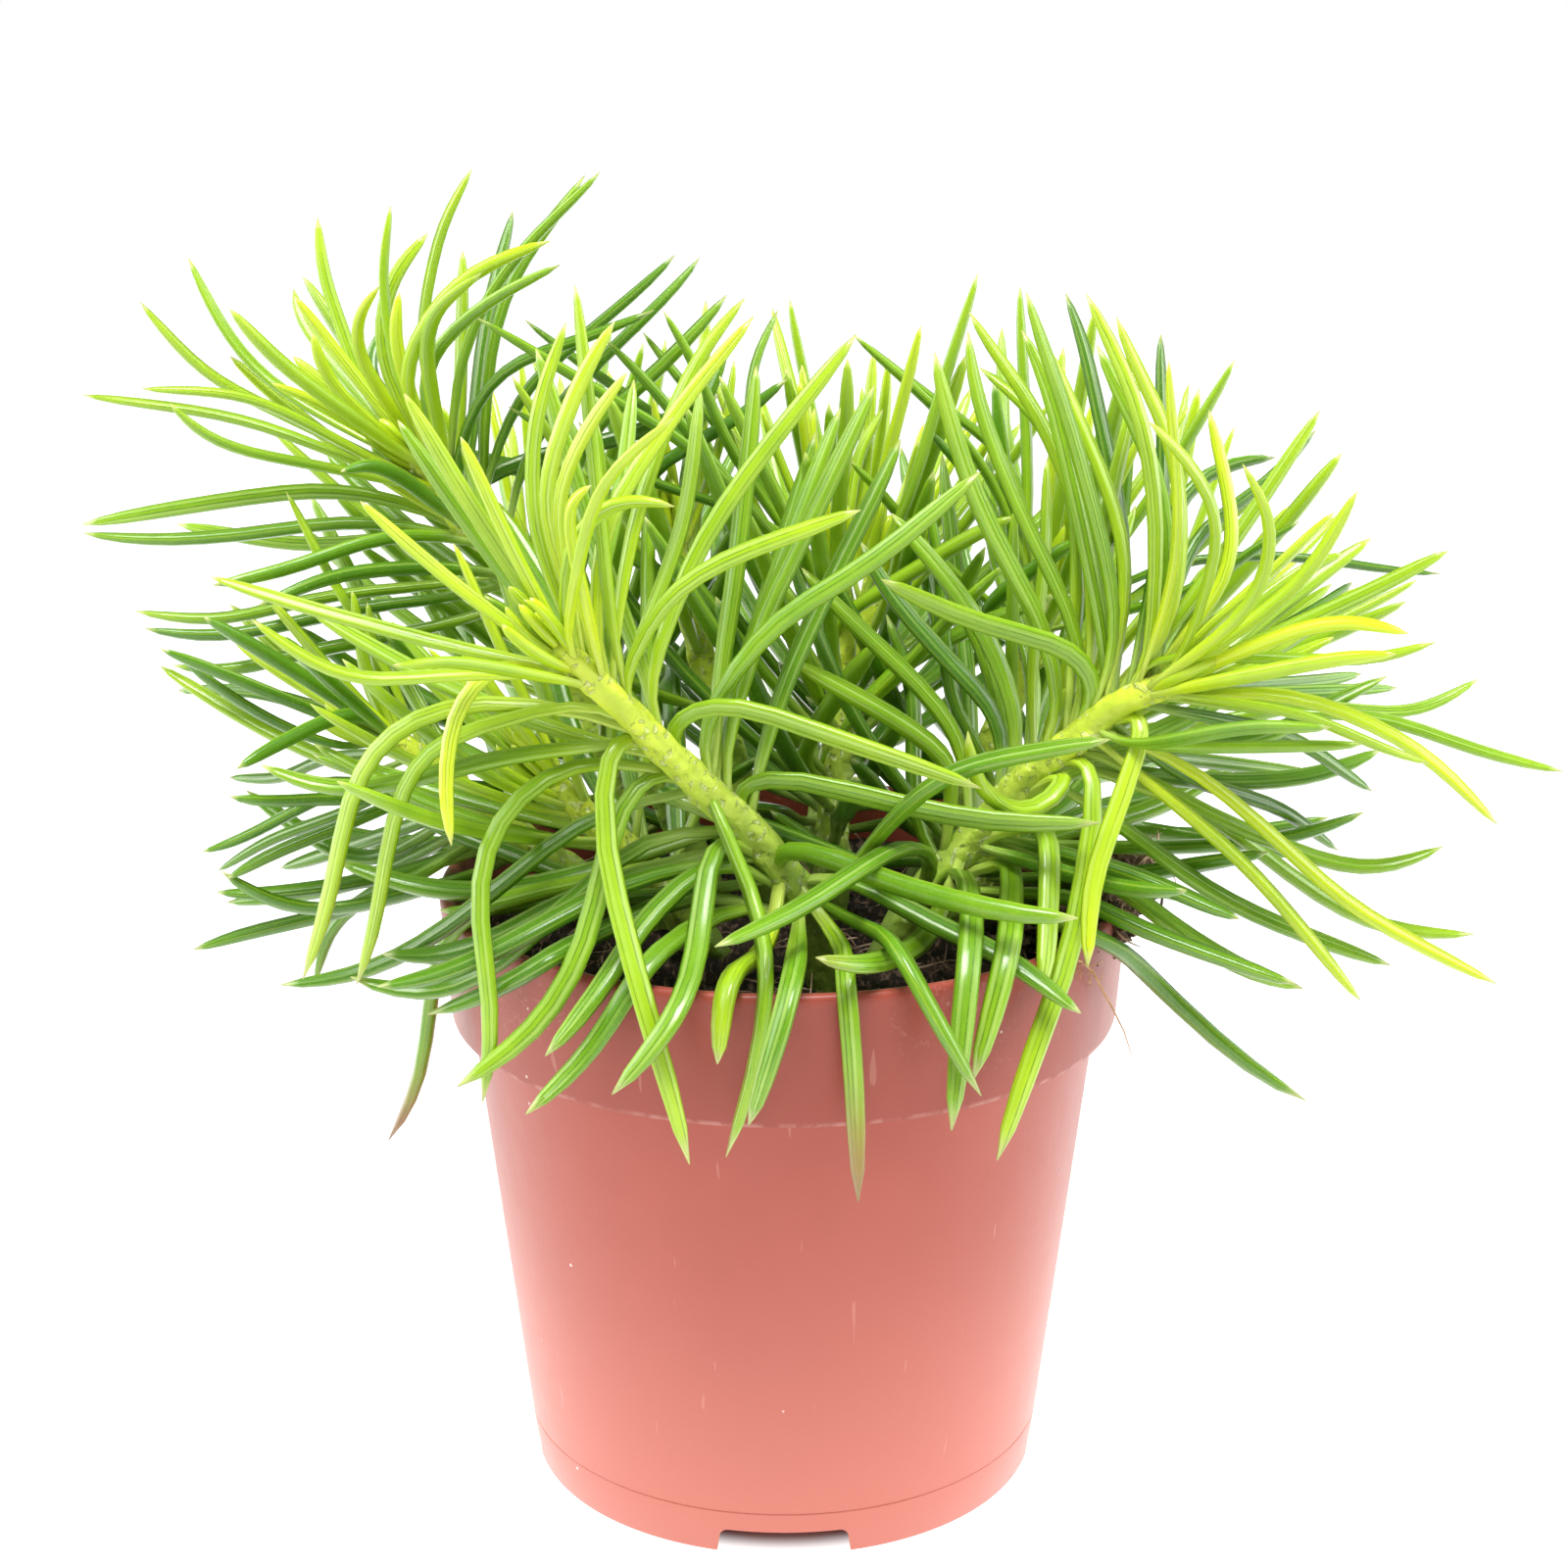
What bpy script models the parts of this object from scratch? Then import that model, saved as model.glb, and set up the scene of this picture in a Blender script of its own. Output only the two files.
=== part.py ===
# Potted senecio: a succulent with finger-shaped leaves on leaning, leafy stems, in a 12 cm plastic
# nursery pot. Each leafy stem is one solid, the pot is one and the soil is one.

import math
import random

import bmesh
import bpy
import numpy as np
from mathutils import Vector, kdtree, noise

for leftover in list(bpy.data.objects):
    bpy.data.objects.remove(leftover, do_unlink=True)

MM = 0.001
CLEARANCE = 0.0003

# The pot: heights from the table, radii from its axis
POT_SIDES = 40
RIM_TOP = 0.107
RIM_RADIUS = 0.060
COLLAR_BOTTOM = 0.084
COLLAR_BOTTOM_RADIUS = 0.0583
BODY_TOP_RADIUS = 0.0549
FOOT_RADIUS = 0.0452
WALL = 0.0013
FOOT_HEIGHT = 0.0047
FOOT_WALL = 0.0027
FLOOR_TOP = FOOT_HEIGHT + 0.0016
LIP_WIDTH = 0.0023
LIP_CHAMFER = 0.0012
NOTCHES = 4
NOTCH_TOP_WIDTH = 0.0216
NOTCH_BOTTOM_WIDTH = 0.024
NOTCH_REACH = (0.038, 0.050)
DRAIN_HOLES = 8
DRAIN_HOLE_RADIUS = 0.0035
DRAIN_CIRCLE_RADIUS = 0.030

# The soil, with the lump of peat that hangs over the rim on the right
SOIL_LEVEL = 0.0975
SOIL_BUMP = 0.0011
LUMP_CENTRE = Vector((0.055, 0.002, 0.104))
LUMP_SIZE = Vector((0.0115, 0.0105, 0.0075))
LUMP_DENTS = 0.55

# Leaves and stems
STEM_BASE_RADIUS = 0.0031
STEM_TIP_RADIUS = 0.0019
STEM_ROOT_DEPTH = 0.013
STEM_POINTS = 60
STEM_AT_SOIL = 12
STEM_SIDES = 8
STEM_RINGS = 8
STEM_FRONT = np.array((0.2, 1.0, 0.1))
LEAF_SIDES = 3
LEAF_WIDTH = ((0, 0.3, 0.6, 0.85, 1), (0.0040, 0.0039, 0.0034, 0.0027, 0.0022))
LEAF_THICKNESS = 0.88
LEAF_PROFILE = ((0, 0.12, 0.35, 0.6, 0.8, 0.92, 1), (0.5, 0.6, 0.9, 1, 0.86, 0.52, 0.06))
CORNER_GAIN = 1.2
CONTACT_GAIN = 1.2
CROSSING_GAIN = 1.05
CONTACT_GAP = 0.0009
BEADS = 16
SEEN_TOLERANCE = 0.0012
HIDDEN_TOLERANCE = 0.0016
FLAT_ANGLE = 6
GOLDEN_ANGLE = math.radians(137.5)
BACK_REACH = 0.082

# How leaves are bent apart: rounds in all, and the last ones in which leaves that show move freely
ROUNDS = 120
FREE_ROUNDS = 70
SEARCH_ROUNDS = 4
SEARCH_REACH = 0.0095
ROOT_BEADS = 2

# The leaves that show from the front are set out as seen from this eye: (x, z) in millimetres in the
# upright plane through the pot's axis, and the depth behind that plane.
EYE = np.array((0.0, -490.0, 268.0))

# Each stem from the soil to its growing tip, as (x, z, depth)
STEMS = {
    "shoot_front_left": [
        (7, 88, -28), (4, 101, -30), (-3, 112, -33), (-15, 124, -39), (-25, 134.5, -45), (-35, 144.5, -51),
        (-39.5, 149.5, -53)],
    "shoot_left": [
        (-12, 102, 12), (-22, 125, 12), (-34, 146, 11), (-45, 162, 10), (-54, 169, 9), (-57, 176, 8),
        (-63, 181.5, 8)],
    "shoot_right": [
        (18, 92.5, -15), (24, 103, -16), (34, 115, -19), (42.5, 125.5, -23), (50, 131.5, -26),
        (57, 137.5, -29), (68.5, 143, -33)],
    "shoot_low_left": [(-24, 98.5, 2), (-38, 108, 0), (-52, 119, -3), (-61, 127, -5), (-69.5, 133.5, -6)],
    "shoot_centre": [(-3, 103.5, 16), (-9, 128, 17), (-15, 150, 18), (-19, 168, 19)],
    "shoot_middle": [(8, 101, 9), (9, 125, 12), (10, 146, 15), (9, 163, 17)],
    "shoot_back_right": [(24, 106, 24), (33, 125, 26), (41, 144, 28), (46, 160, 29)],
    "shoot_back_left": [(-24, 108, 30), (-31, 128, 35), (-39, 148, 39), (-45, 164, 42)],
    "shoot_back": [(6, 111, 38), (9, 130, 41), (13, 149, 44), (16, 163, 46)],
    "shoot_far_right": [(34, 105, 20), (44, 123, 28), (57, 139, 36), (68, 151, 41)],
    "shoot_low_front": [(-16, 97, -14), (-23, 107, -17), (-32, 116, -19), (-40, 124, -20)],
    "shoot_low_right": [(30, 100, 1), (36, 111, 0), (42, 122, -1), (46, 131, -2)],
}

# The leaves that show, by stem: the depth that the tip gains from the root, then the places along the
# leaf, from the root or the first place that shows to the tip, as (x, z).
SEEN_LEAVES = {
    "shoot_front_left": [
        (0, (-59, 149), (-69.5, 152), (-82, 155.5), (-97.5, 160.5)),
        (-28, (-56, 146), (-67, 145)),
        (-10, (-60, 143.5), (-67, 142.5), (-75, 143), (-82, 146.5), (-90.5, 153)),
        (-10, (-47.5, 146), (-52, 143), (-57, 136.5), (-59, 122), (-58, 112.5)),
        (6, (-34, 137), (-51, 139), (-59, 138), (-67, 135), (-73, 129), (-76, 121), (-80, 102), (-85, 88)),
        (4, (-34, 139.5), (-48.5, 135), (-59.5, 132.5), (-64, 129), (-69.5, 113), (-71.5, 99), (-75.5, 87)),
        (5, (-28, 131), (-48, 128.5), (-58, 126), (-78, 122), (-91, 126.5)),
        (-12, (-27, 129), (-40, 127.5), (-46.5, 122.5), (-51, 117), (-54, 109), (-54, 100), (-53, 91.5),
         (-51.5, 80.5), (-54, 65.5)),
        (-19, (-28.5, 136), (-31.5, 122.5), (-31, 109), (-28, 96), (-24.5, 80.5), (-20.5, 66.5), (-17, 51)),
        (-20, (-22, 128), (-29, 115.5), (-31, 104), (-33, 91.5), (-40.5, 75.5), (-56, 63.5)),
        (-26, (-16, 124.5), (-9.5, 110), (-4.5, 91.5), (-3.5, 78.5), (-5, 63.5), (-10.5, 45)),
        (-10, (-22, 132.5), (-14.5, 138.5), (-7.5, 138), (3, 134), (34, 123)),
        (-8, (-11, 121.5), (-7.5, 124), (0.5, 124), (17, 118.5), (37, 114.5), (55.5, 114.5)),
        (-22, (-3.5, 112.5), (6.5, 112), (17, 107), (30.5, 101.5), (41, 98.5), (51, 98)),
        (12, (-24, 124), (-5, 118), (18, 108)),
        (-31, (-11.5, 112), (-15, 83), (-18, 68), (-30, 52.5)),
        (-34, (-10, 107), (-21.5, 92.5), (-29, 75.5), (-41, 59.5)),
        (-35, (-8, 98), (-26.5, 71), (-34, 57.5), (-46.5, 44.5)),
        (-34, (-3, 92), (-10.5, 81.5), (-12, 65.5)),
        (-35, (2.5, 99), (-1, 76), (-8, 51)),
        (-34, (0, 104), (10.5, 89), (17.5, 69.5), (31, 43.5)),
        (-36, (8, 92), (9.5, 73), (11, 55), (12, 30.5)),
        (-24, (11.5, 105), (31, 87.5), (52, 69.5)),
        (0, (-41.5, 165.5), (-42.5, 176), (-41.5, 189), (-36, 204)),
        (-8, (-40.5, 171), (-38, 184), (-33.5, 195.5), (-28, 204)),
        (-15, (-38.5, 171), (-35.5, 181.5), (-31, 189.5), (-26, 195.5)),
        (-12, (-37, 171), (-32.5, 176)),
        (-15, (-36, 145.5), (-37, 157.5), (-36, 165.5), (-32.5, 171), (-26.5, 174), (-18.5, 172.5)),
        (-25, (-37.5, 149), (-32.5, 173.5), (-26.5, 182), (-18.5, 188)),
        (6, (-32, 145.5), (-32, 160), (-30, 171), (-21.5, 183.5), (-17, 190.5), (-11, 197.5), (-5, 204.5)),
        (16, (-29.5, 145.5), (-27.5, 160), (-24.5, 173.5), (-17, 193), (-12.5, 201), (-6.5, 207.5)),
        (26, (-34, 147), (-27, 178), (-26, 187), (-25, 194)),
        (24, (-27, 143.5), (-18.5, 165.5), (-16, 176), (-14, 193)),
        (-16, (-29, 141), (-25, 147.5), (-22.5, 154), (-17, 159.5), (-9, 164), (2, 168), (13, 172)),
        (0, (-24.5, 139), (-21, 149), (-16, 163), (-9, 174.5), (2, 189), (12, 201.5)),
        (-6, (-15.5, 131), (-7.5, 146), (0.5, 154.5), (13.5, 162), (26.5, 173), (33, 178.5)),
        (6, (-11, 127), (-4.5, 152), (2, 165.5), (9, 180.5), (15, 193)),
        (16, (-12, 130), (3.5, 174), (9.5, 189.5)),
        (12, (-5, 125), (0.5, 143.5), (10.5, 165.5), (15, 174.5), (19.5, 184)),
        (10, (-34, 118), (-52, 103), (-66, 92.5), (-76.5, 88), (-88.5, 86.5)),
        (-12, (-25, 106), (-42, 95), (-51.5, 89.5), (-61.5, 85), (-70.5, 83.5)),
        (-4, (-22, 108), (-40.5, 99), (-48.5, 92.5), (-61, 88.5), (-70, 89)),
        (-8, (-24, 112), (-35, 96.5), (-45.5, 84.5), (-52.5, 78), (-61, 75.5), (-68, 76), (-74, 79)),
        (-14, (-16, 100), (-30.5, 86.5), (-40.5, 76.5), (-49.5, 70.5), (-61.5, 66)),
        (12, (-22, 111), (-35, 104), (-50, 98.5), (-62, 97), (-79, 102.5)),
        (-20, (28, 127), (44.5, 132), (52.5, 134), (59, 134.5)),
        (14, (-50, 99), (-59, 96), (-63.5, 78.5), (-65, 62), (-71, 52.5)),
        (-4, (-44, 88), (-54.5, 82), (-61, 82.5)),
    ],
    "shoot_left": [
        (0, (-81.5, 184.5), (-94.5, 188.5), (-117, 191.5)),
        (-15, (-81.5, 188), (-91.5, 192), (-107, 192.5)),
        (-10, (-92.5, 193), (-97.5, 196.5), (-106.5, 207)),
        (10, (-84, 192.5), (-92.5, 202), (-98, 214)),
        (-24, (-73, 188.5), (-84, 197), (-91.5, 205.5)),
        (26, (-79.5, 203), (-81, 209)),
        (-14, (-72.5, 190.5), (-77, 197), (-78, 202)),
        (14, (-69.5, 191.5), (-73, 202), (-76, 211), (-76.5, 220.5)),
        (-18, (-70.5, 198), (-71.5, 202), (-70.5, 207), (-67, 210.5)),
        (4, (-63.5, 190.5), (-66, 202), (-66.5, 213), (-64.5, 222.5)),
        (24, (-67.5, 191.5), (-69, 198), (-65, 204)),
        (12, (-66, 195), (-66.5, 205), (-64, 212), (-58.5, 218)),
        (-2, (-60.5, 200), (-58.5, 211), (-56.5, 219.5), (-51, 228.5)),
        (20, (-51.5, 191.5), (-50, 202), (-47, 213.5), (-44.5, 221.5)),
        (-6, (-55.5, 189.5), (-52.5, 202), (-44, 215), (-30, 228)),
        (6, (-51, 172), (-47.5, 206), (-32.5, 227.5)),
        (-18, (-64, 192.5), (-61, 201), (-55.5, 209), (-46.5, 214), (-39, 216.5)),
        (-26, (-59.5, 202), (-50, 211.5)),
        (-28, (-60.5, 193.5), (-56, 201.5), (-47, 208.5), (-37, 213)),
        (-8, (-64, 198), (-63.5, 208.5)),
        (-12, (-76, 189.5), (-85.5, 193.5)),
        (-25, (-78.5, 180), (-89.5, 182), (-97.5, 185), (-102.5, 190)),
        (-37, (-56, 171), (-63.5, 177), (-70, 180), (-74.5, 178.5)),
        (12, (-58.5, 171.5), (-71.5, 175), (-79.5, 175.5), (-98, 173), (-118.5, 169.5)),
        (-6, (-57, 168.5), (-74.5, 170.5), (-87.5, 168.5), (-106, 167), (-118.5, 168)),
        (20, (-57, 168.5), (-80, 166), (-102.5, 169.5)),
        (-25, (-60, 168), (-72, 166.5), (-82.5, 162.5), (-97, 159)),
        (-28, (-59, 162.5), (-77, 161), (-89.5, 155.5)),
        (-8, (-56, 159.5), (-69.5, 158.5), (-83, 156.5), (-96, 153), (-110.5, 154.5)),
        (-15, (-56, 157), (-70, 156), (-95, 150.5), (-109, 151.5)),
        (15, (-56, 174), (-40, 181.5), (-27, 184), (-10.5, 191.5)),
        (-10, (-56, 176), (-52, 190), (-46, 197), (-35, 200.5), (-21.5, 205.5)),
        (5, (-50, 178), (-44, 192), (-34, 201), (-26, 207.5), (-18, 214.5)),
        (16, (-45, 178), (-38, 190), (-26, 202), (-19, 208.5), (-14, 214)),
        (-14, (-60, 152), (-85.5, 147), (-94, 144), (-104.5, 145)),
        (8, (-35, 182.5), (-26.5, 191), (-19, 198), (-9.5, 208)),
        (22, (-30, 175), (-50, 180), (-61.5, 184)),
    ],
    "shoot_right": [
        (15, (52, 165), (41, 191.5), (35.5, 197.5), (30.5, 205.5)),
        (24, (50, 170), (43, 188), (32.5, 196)),
        (-5, (57, 147.5), (55.5, 161.5), (51.5, 175), (47.5, 188.5), (43, 200), (40, 208.5)),
        (10, (56, 142), (45, 190), (39.5, 202)),
        (20, (58, 165), (44.5, 198.5)),
        (25, (58, 165), (52, 191.5), (50, 201), (46.5, 208.5)),
        (2, (62, 142), (63, 170), (59, 190), (50, 208)),
        (-10, (66.5, 153), (67.5, 169.5), (65, 184.5), (58.5, 196.5), (55, 204.5)),
        (12, (63, 142), (65, 164), (63.5, 175), (60, 184.5), (56, 191.5), (52, 199.5)),
        (24, (64, 170), (62.5, 201.5)),
        (-12, (67, 165), (64, 197)),
        (10, (74.5, 158.5), (76, 169.5), (73, 182.5), (71, 189)),
        (-20, (68, 145), (74, 167), (71.5, 175), (67, 182), (61, 187)),
        (-24, (79, 154.5), (82.5, 169.5), (77, 179.5)),
        (24, (66, 172), (75, 180), (82.5, 181)),
        (30, (69, 166), (75.5, 172), (82, 177), (89, 185.5)),
        (-12, (54, 137), (51.5, 146.5), (44.5, 149.5), (34, 152), (25.5, 155.5), (16.5, 160)),
        (12, (38, 134), (32.5, 141.5), (24.5, 150), (17.5, 158.5), (13, 166.5)),
        (-4, (48, 134.5), (44.5, 152), (38.5, 162), (32, 175), (27.5, 188.5), (25, 198.5)),
        (8, (52.5, 137), (49, 154.5), (43, 165.5), (36.5, 180), (32, 191.5), (30.5, 202)),
        (-22, (49.5, 126.5), (47, 120), (41, 117), (34.5, 122), (32, 132)),
        (-20, (82, 154), (89.5, 161.5), (94, 169.5), (96.5, 175)),
        (-8, (96.5, 156.5), (106, 161.5), (112.5, 165)),
        (-28, (83, 149.5), (92.5, 152.5), (99.5, 152.5), (106.5, 150.5)),
        (6, (76, 153), (84.5, 162.5)),
        (-10, (83.5, 140.5), (95, 137.5), (107, 132), (115.5, 125.5), (124, 116.5)),
        (-24, (66.5, 139.5), (88, 137), (100, 132), (111.5, 127.5)),
        (-8, (65, 138), (80, 137.5), (103.5, 136), (115, 131.5), (126.5, 128), (135, 126)),
        (4, (58, 128), (75, 118), (99, 108.5), (108, 109.5), (114.5, 112.5)),
        (16, (75, 140), (106, 136.5), (113, 138.5), (119, 142.5)),
        (-16, (62, 146), (97, 145.5), (105.5, 146.5), (111.5, 149)),
        (-28, (93, 146), (104.5, 147)),
        (28, (90, 142), (99, 143.5)),
        (22, (94, 140.5), (105, 141)),
        (26, (75, 145), (86, 152), (92, 155.5), (96.5, 159.5)),
        (10, (88, 161.5), (95, 164.5)),
        (18, (86, 133), (97, 126), (102, 122.5)),
        (20, (60, 128), (90, 124), (98, 122.5)),
        (18, (52, 128), (76, 125.5), (90, 126), (97.5, 128), (103.5, 131)),
        (-20, (60, 131), (100, 131)),
        (-30, (60, 131), (80, 134.5), (94, 134)),
        (26, (68, 126), (84, 121), (89.5, 117.5), (95.5, 112.5)),
        (-10, (62, 131), (71.5, 126.5), (81.5, 118), (90.5, 110), (99.5, 101.5), (126, 87)),
        (4, (60.5, 124), (73, 120), (84.5, 111), (96.5, 102), (108, 97), (121.5, 96.5)),
        (-10, (57.5, 117.5), (78, 102.5), (107, 90.5)),
        (-20, (57.5, 107), (63, 102), (71.5, 96), (82, 89.5), (92, 86)),
        (-26, (48.5, 97), (58, 89.5), (68.5, 85), (79, 81), (90, 76.5)),
        (-14, (55, 97.5), (61.5, 93), (72, 82.5), (83, 72.5), (93, 66)),
        (-8, (78, 112), (90, 99), (102, 84)),
        (-30, (57, 106), (70, 104.5)),
        (-24, (60, 108), (80, 99)),
        (-24, (62.5, 138), (58, 120), (56, 113.5), (53.5, 105), (53.5, 90)),
        (-30, (53.5, 131.5), (48.5, 99), (42.5, 81.5), (34.5, 54.5)),
        (-42, (40, 108), (39, 97), (38, 77), (32, 51.5)),
        (-48, (30, 105), (31.5, 83), (30, 62), (28, 37.5)),
        (-36, (44, 118), (43, 102.5), (40.5, 87.5)),
        (-46, (26, 92.5), (20.5, 85), (13.5, 81.5), (5.5, 83)),
        (-54, (26.5, 110.5), (21.5, 113), (10, 105.5), (0, 98), (-16, 90)),
        (-6, (30, 126.5), (25, 131.6), (18.3, 136.5), (9.7, 141.3), (1.7, 145.7)),
        (8, (31, 131), (22, 143), (12.6, 152), (3, 162)),
        (14, (40.6, 133.5), (35.5, 149), (27, 161.4), (18.3, 171.2)),
        (22, (38.5, 132), (34.5, 148.5), (31, 155), (25, 164)),
    ],
    "shoot_low_left": [
        (-26, (-80.5, 141.5), (-88, 146.5), (-98.5, 153)),
        (-32, (-79, 143), (-86.5, 150.5)),
        (-20, (-82.5, 138), (-96.5, 144), (-106.5, 148)),
        (20, (-75, 136), (-82.5, 138), (-91, 140.5), (-104, 140.5)),
        (-14, (-75.5, 130.5), (-86, 134.5), (-95, 140), (-103, 146.5)),
        (-28, (-75, 137), (-90.5, 130.5), (-96, 127)),
        (28, (-80, 128.5), (-86.5, 125), (-96, 125)),
        (-20, (-68, 122), (-81.5, 121.5), (-88, 121), (-96, 121.5)),
        (18, (-72, 110), (-83, 115), (-93, 122.5)),
        (-14, (-80, 122), (-94, 114.5), (-101.5, 111.5)),
        (10, (-76, 119), (-89.5, 114), (-99, 108)),
        (-20, (-76, 117), (-90.5, 111), (-97.5, 106.5)),
        (24, (-72, 114), (-88, 108.5)),
        (-6, (-66, 108), (-90, 104), (-99.5, 104)),
        (-24, (-60, 103), (-80, 98), (-92, 101), (-97.5, 105)),
        (-12, (-72, 103), (-96, 96.5), (-104, 93.5)),
        (16, (-75, 106), (-98, 102)),
        (-6, (-72, 145), (-73.5, 158)),
        (6, (-70, 144), (-71, 156)),
        (12, (-71, 140), (-73, 151)),
        (6, (-75, 98), (-81, 91.5), (-83, 83)),
    ],
    "shoot_centre": [
        (18, (-7, 175), (-6, 193), (-4, 200), (-1, 205.5)),
        (8, (-16, 182), (-9.5, 199)),
        (-6, (-24, 176), (-14, 183.5), (-6, 188.5), (0.5, 194)),
        (-8, (-5, 144), (-19.5, 159.5), (-31, 167)),
    ],
    "shoot_middle": [
        (6, (-6, 180), (-17, 194), (-23.5, 202)),
        (-4, (-9, 183), (-14, 196), (-20, 205.5)),
        (-10, (-10, 178), (-19.5, 190), (-24, 195.5), (-29.5, 200.5)),
        (4, (-15, 183), (-29.5, 194), (-43, 204)),
        (-14, (-14, 182), (-23.5, 187.5), (-42.5, 199.5), (-50.5, 204)),
        (-8, (-2, 170), (-25, 178), (-46, 189.5)),
        (10, (12, 180), (16.5, 189)),
        (-6, (5, 126), (12, 136), (20, 144.5), (31, 151), (39.4, 154.3), (47, 157.6)),
        (-14, (14, 138), (21, 145), (29, 154.5), (37, 162.3)),
        (-12, (8, 152), (20.5, 160.5), (33, 168.3), (39, 170.8)),
        (-16, (3, 128), (8, 138), (13, 145), (16, 149)),
    ],
    "shoot_back_right": [
        (8, (39, 179), (32.5, 185.5), (23.5, 192), (13, 200.5)),
        (-6, (36, 176), (25, 190), (11.5, 201.5)),
        (-6, (65, 163), (84, 164.5), (93.5, 163.5), (101.5, 162), (111.5, 161)),
        (-20, (68, 158), (81.5, 167), (87, 170)),
        (-14, (24, 166), (17, 175), (11, 180.5)),
        (-10, (34, 174), (28, 182), (23.7, 186)),
        (-16, (34, 154), (45, 163.7), (50, 167)),
    ],
}

# The leaves that don't show grow by a rule: how many each stem has, and where along it they begin.
# A stem whose front is set out above gets only leaves that point away from the eye.
HIDDEN_LEAVES = {
    "shoot_front_left": (44, 0.05, True),
    "shoot_left": (48, 0.05, True),
    "shoot_right": (48, 0.05, True),
    "shoot_low_left": (40, 0.05, True),
    "shoot_centre": (50, 0.05, False),
    "shoot_middle": (50, 0.05, False),
    "shoot_back_right": (46, 0.05, False),
    "shoot_back_left": (44, 0.05, False),
    "shoot_back": (42, 0.05, False),
    "shoot_far_right": (40, 0.1, False),
    "shoot_low_front": (38, 0.02, False),
    "shoot_low_right": (38, 0.1, False),
}


def sighted(x, z, depth):
    """The real place of what shows at (x, z) in the plane of the pot's axis, at a depth behind it."""
    spread = (depth - EYE[1]) / -EYE[1]
    return np.array((x * spread, depth, EYE[2] + (z - EYE[2]) * spread)) * MM


def unit(vector):
    """The vector at length one."""
    return vector / np.linalg.norm(vector)


def smooth_path(points, count):
    """Evenly spaced points on a Catmull-Rom curve through the given ones."""
    knots = np.array([2 * points[0] - points[1], *points, 2 * points[-1] - points[-2]])
    fine = []
    for a, b, c, d in zip(knots, knots[1:], knots[2:], knots[3:]):
        for t in np.arange(12) / 12:
            fine.append(0.5 * (2 * b + (c - a) * t + (2 * a - 5 * b + 4 * c - d) * t * t
                               + (3 * b - a - 3 * c + d) * t ** 3))
    fine = np.array([*fine, points[-1]])
    length = np.concatenate(([0.0], np.cumsum(np.linalg.norm(np.diff(fine, axis=0), axis=1))))
    even = np.linspace(0.0, length[-1], count)
    return np.stack([np.interp(even, length, fine[:, axis]) for axis in range(3)], axis=1)


def soil_height(x, y):
    """Height of the soil's rough surface."""
    return SOIL_LEVEL + SOIL_BUMP * noise.noise(Vector((x * 130, y * 130, 0.5)))


def stem_path(name):
    """The stem's centre line, from inside the soil to its growing tip."""
    points = [sighted(*place) for place in STEMS[name]]
    root = points[0] + unit(points[0] - points[1]) * STEM_ROOT_DEPTH
    return smooth_path([root, *points], STEM_POINTS)


def stem_radius(point):
    """Half the stem's thickness at one of its points."""
    return np.interp(point, (STEM_AT_SOIL, STEM_POINTS - 3), (STEM_BASE_RADIUS, STEM_TIP_RADIUS))


def leaf_width(up_the_stem, draw):
    """A leaf's greatest width, from where on the stem it grows: slim at the tip, broad below."""
    return np.interp(up_the_stem, *LEAF_WIDTH) * draw.uniform(0.92, 1.08)


class Leaf:
    """One leaf: its centre line from the stem's core to the tip, and its greatest half width."""

    def __init__(self, shoot, path, upward, half_width, seen):
        self.shoot = shoot
        self.path = path
        self.upward = upward
        self.half_width = half_width
        self.seen = seen


def leaf_profile(along):
    """Half width along a leaf, as a part of its greatest: a narrow foot, a full middle, a fine tip."""
    return np.interp(along, *LEAF_PROFILE)


def in_pot(place):
    """True where a leaf's centre line would lie in the pot or in the soil."""
    around = math.hypot(place[0], place[1])
    if place[2] > RIM_TOP + 0.0025 or around > RIM_RADIUS + 0.0024:
        return False
    return place[2] < SOIL_LEVEL + 0.002 or around > RIM_RADIUS - 0.006


def seen_leaf(shoot, stem, reach, places, draw):
    """A leaf through the places where it shows, from its stem; over the rim it comes forward."""
    above = stem[STEM_AT_SOIL:]
    spread = (above[:, 1] / MM - EYE[1]) / -EYE[1]
    shown = np.stack([above[:, 0] / MM / spread, EYE[2] + (above[:, 2] / MM - EYE[2]) / spread], axis=1)
    distance = np.linalg.norm(shown - places[0], axis=1)
    nearest = int(np.argmin(distance))
    # a leaf that starts clear of its stem, or turns back from it, has its root lower down the stem
    towards = unit(np.array(places[-1]) - shown[nearest])
    growing = unit(shown[-1] - shown[-8])
    lower = distance[nearest] / 7 + 5 * (1 - towards @ growing) + draw.uniform(0, 3)
    nearest = abs(nearest - int(lower))
    depth = above[nearest, 1] / MM
    places = [tuple(shown[nearest])] + [place for place in places if math.dist(place, shown[nearest]) > 4]
    steps = [0.0]
    for a, b in zip(places, places[1:]):
        steps.append(steps[-1] + math.dist(a, b))
    points = []
    for (x, z), step in zip(places, steps):
        at = depth + reach * step / steps[-1]
        while points and in_pot(sighted(x, z, at)):
            at -= 0.5
        points.append(sighted(x, z, at))
    upward = unit(above[min(nearest + 1, len(above) - 1)] - above[max(nearest - 1, 0)])
    return Leaf(shoot, smooth_path(points, BEADS), upward, leaf_width(nearest / len(above), draw) / 2, True)


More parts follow.
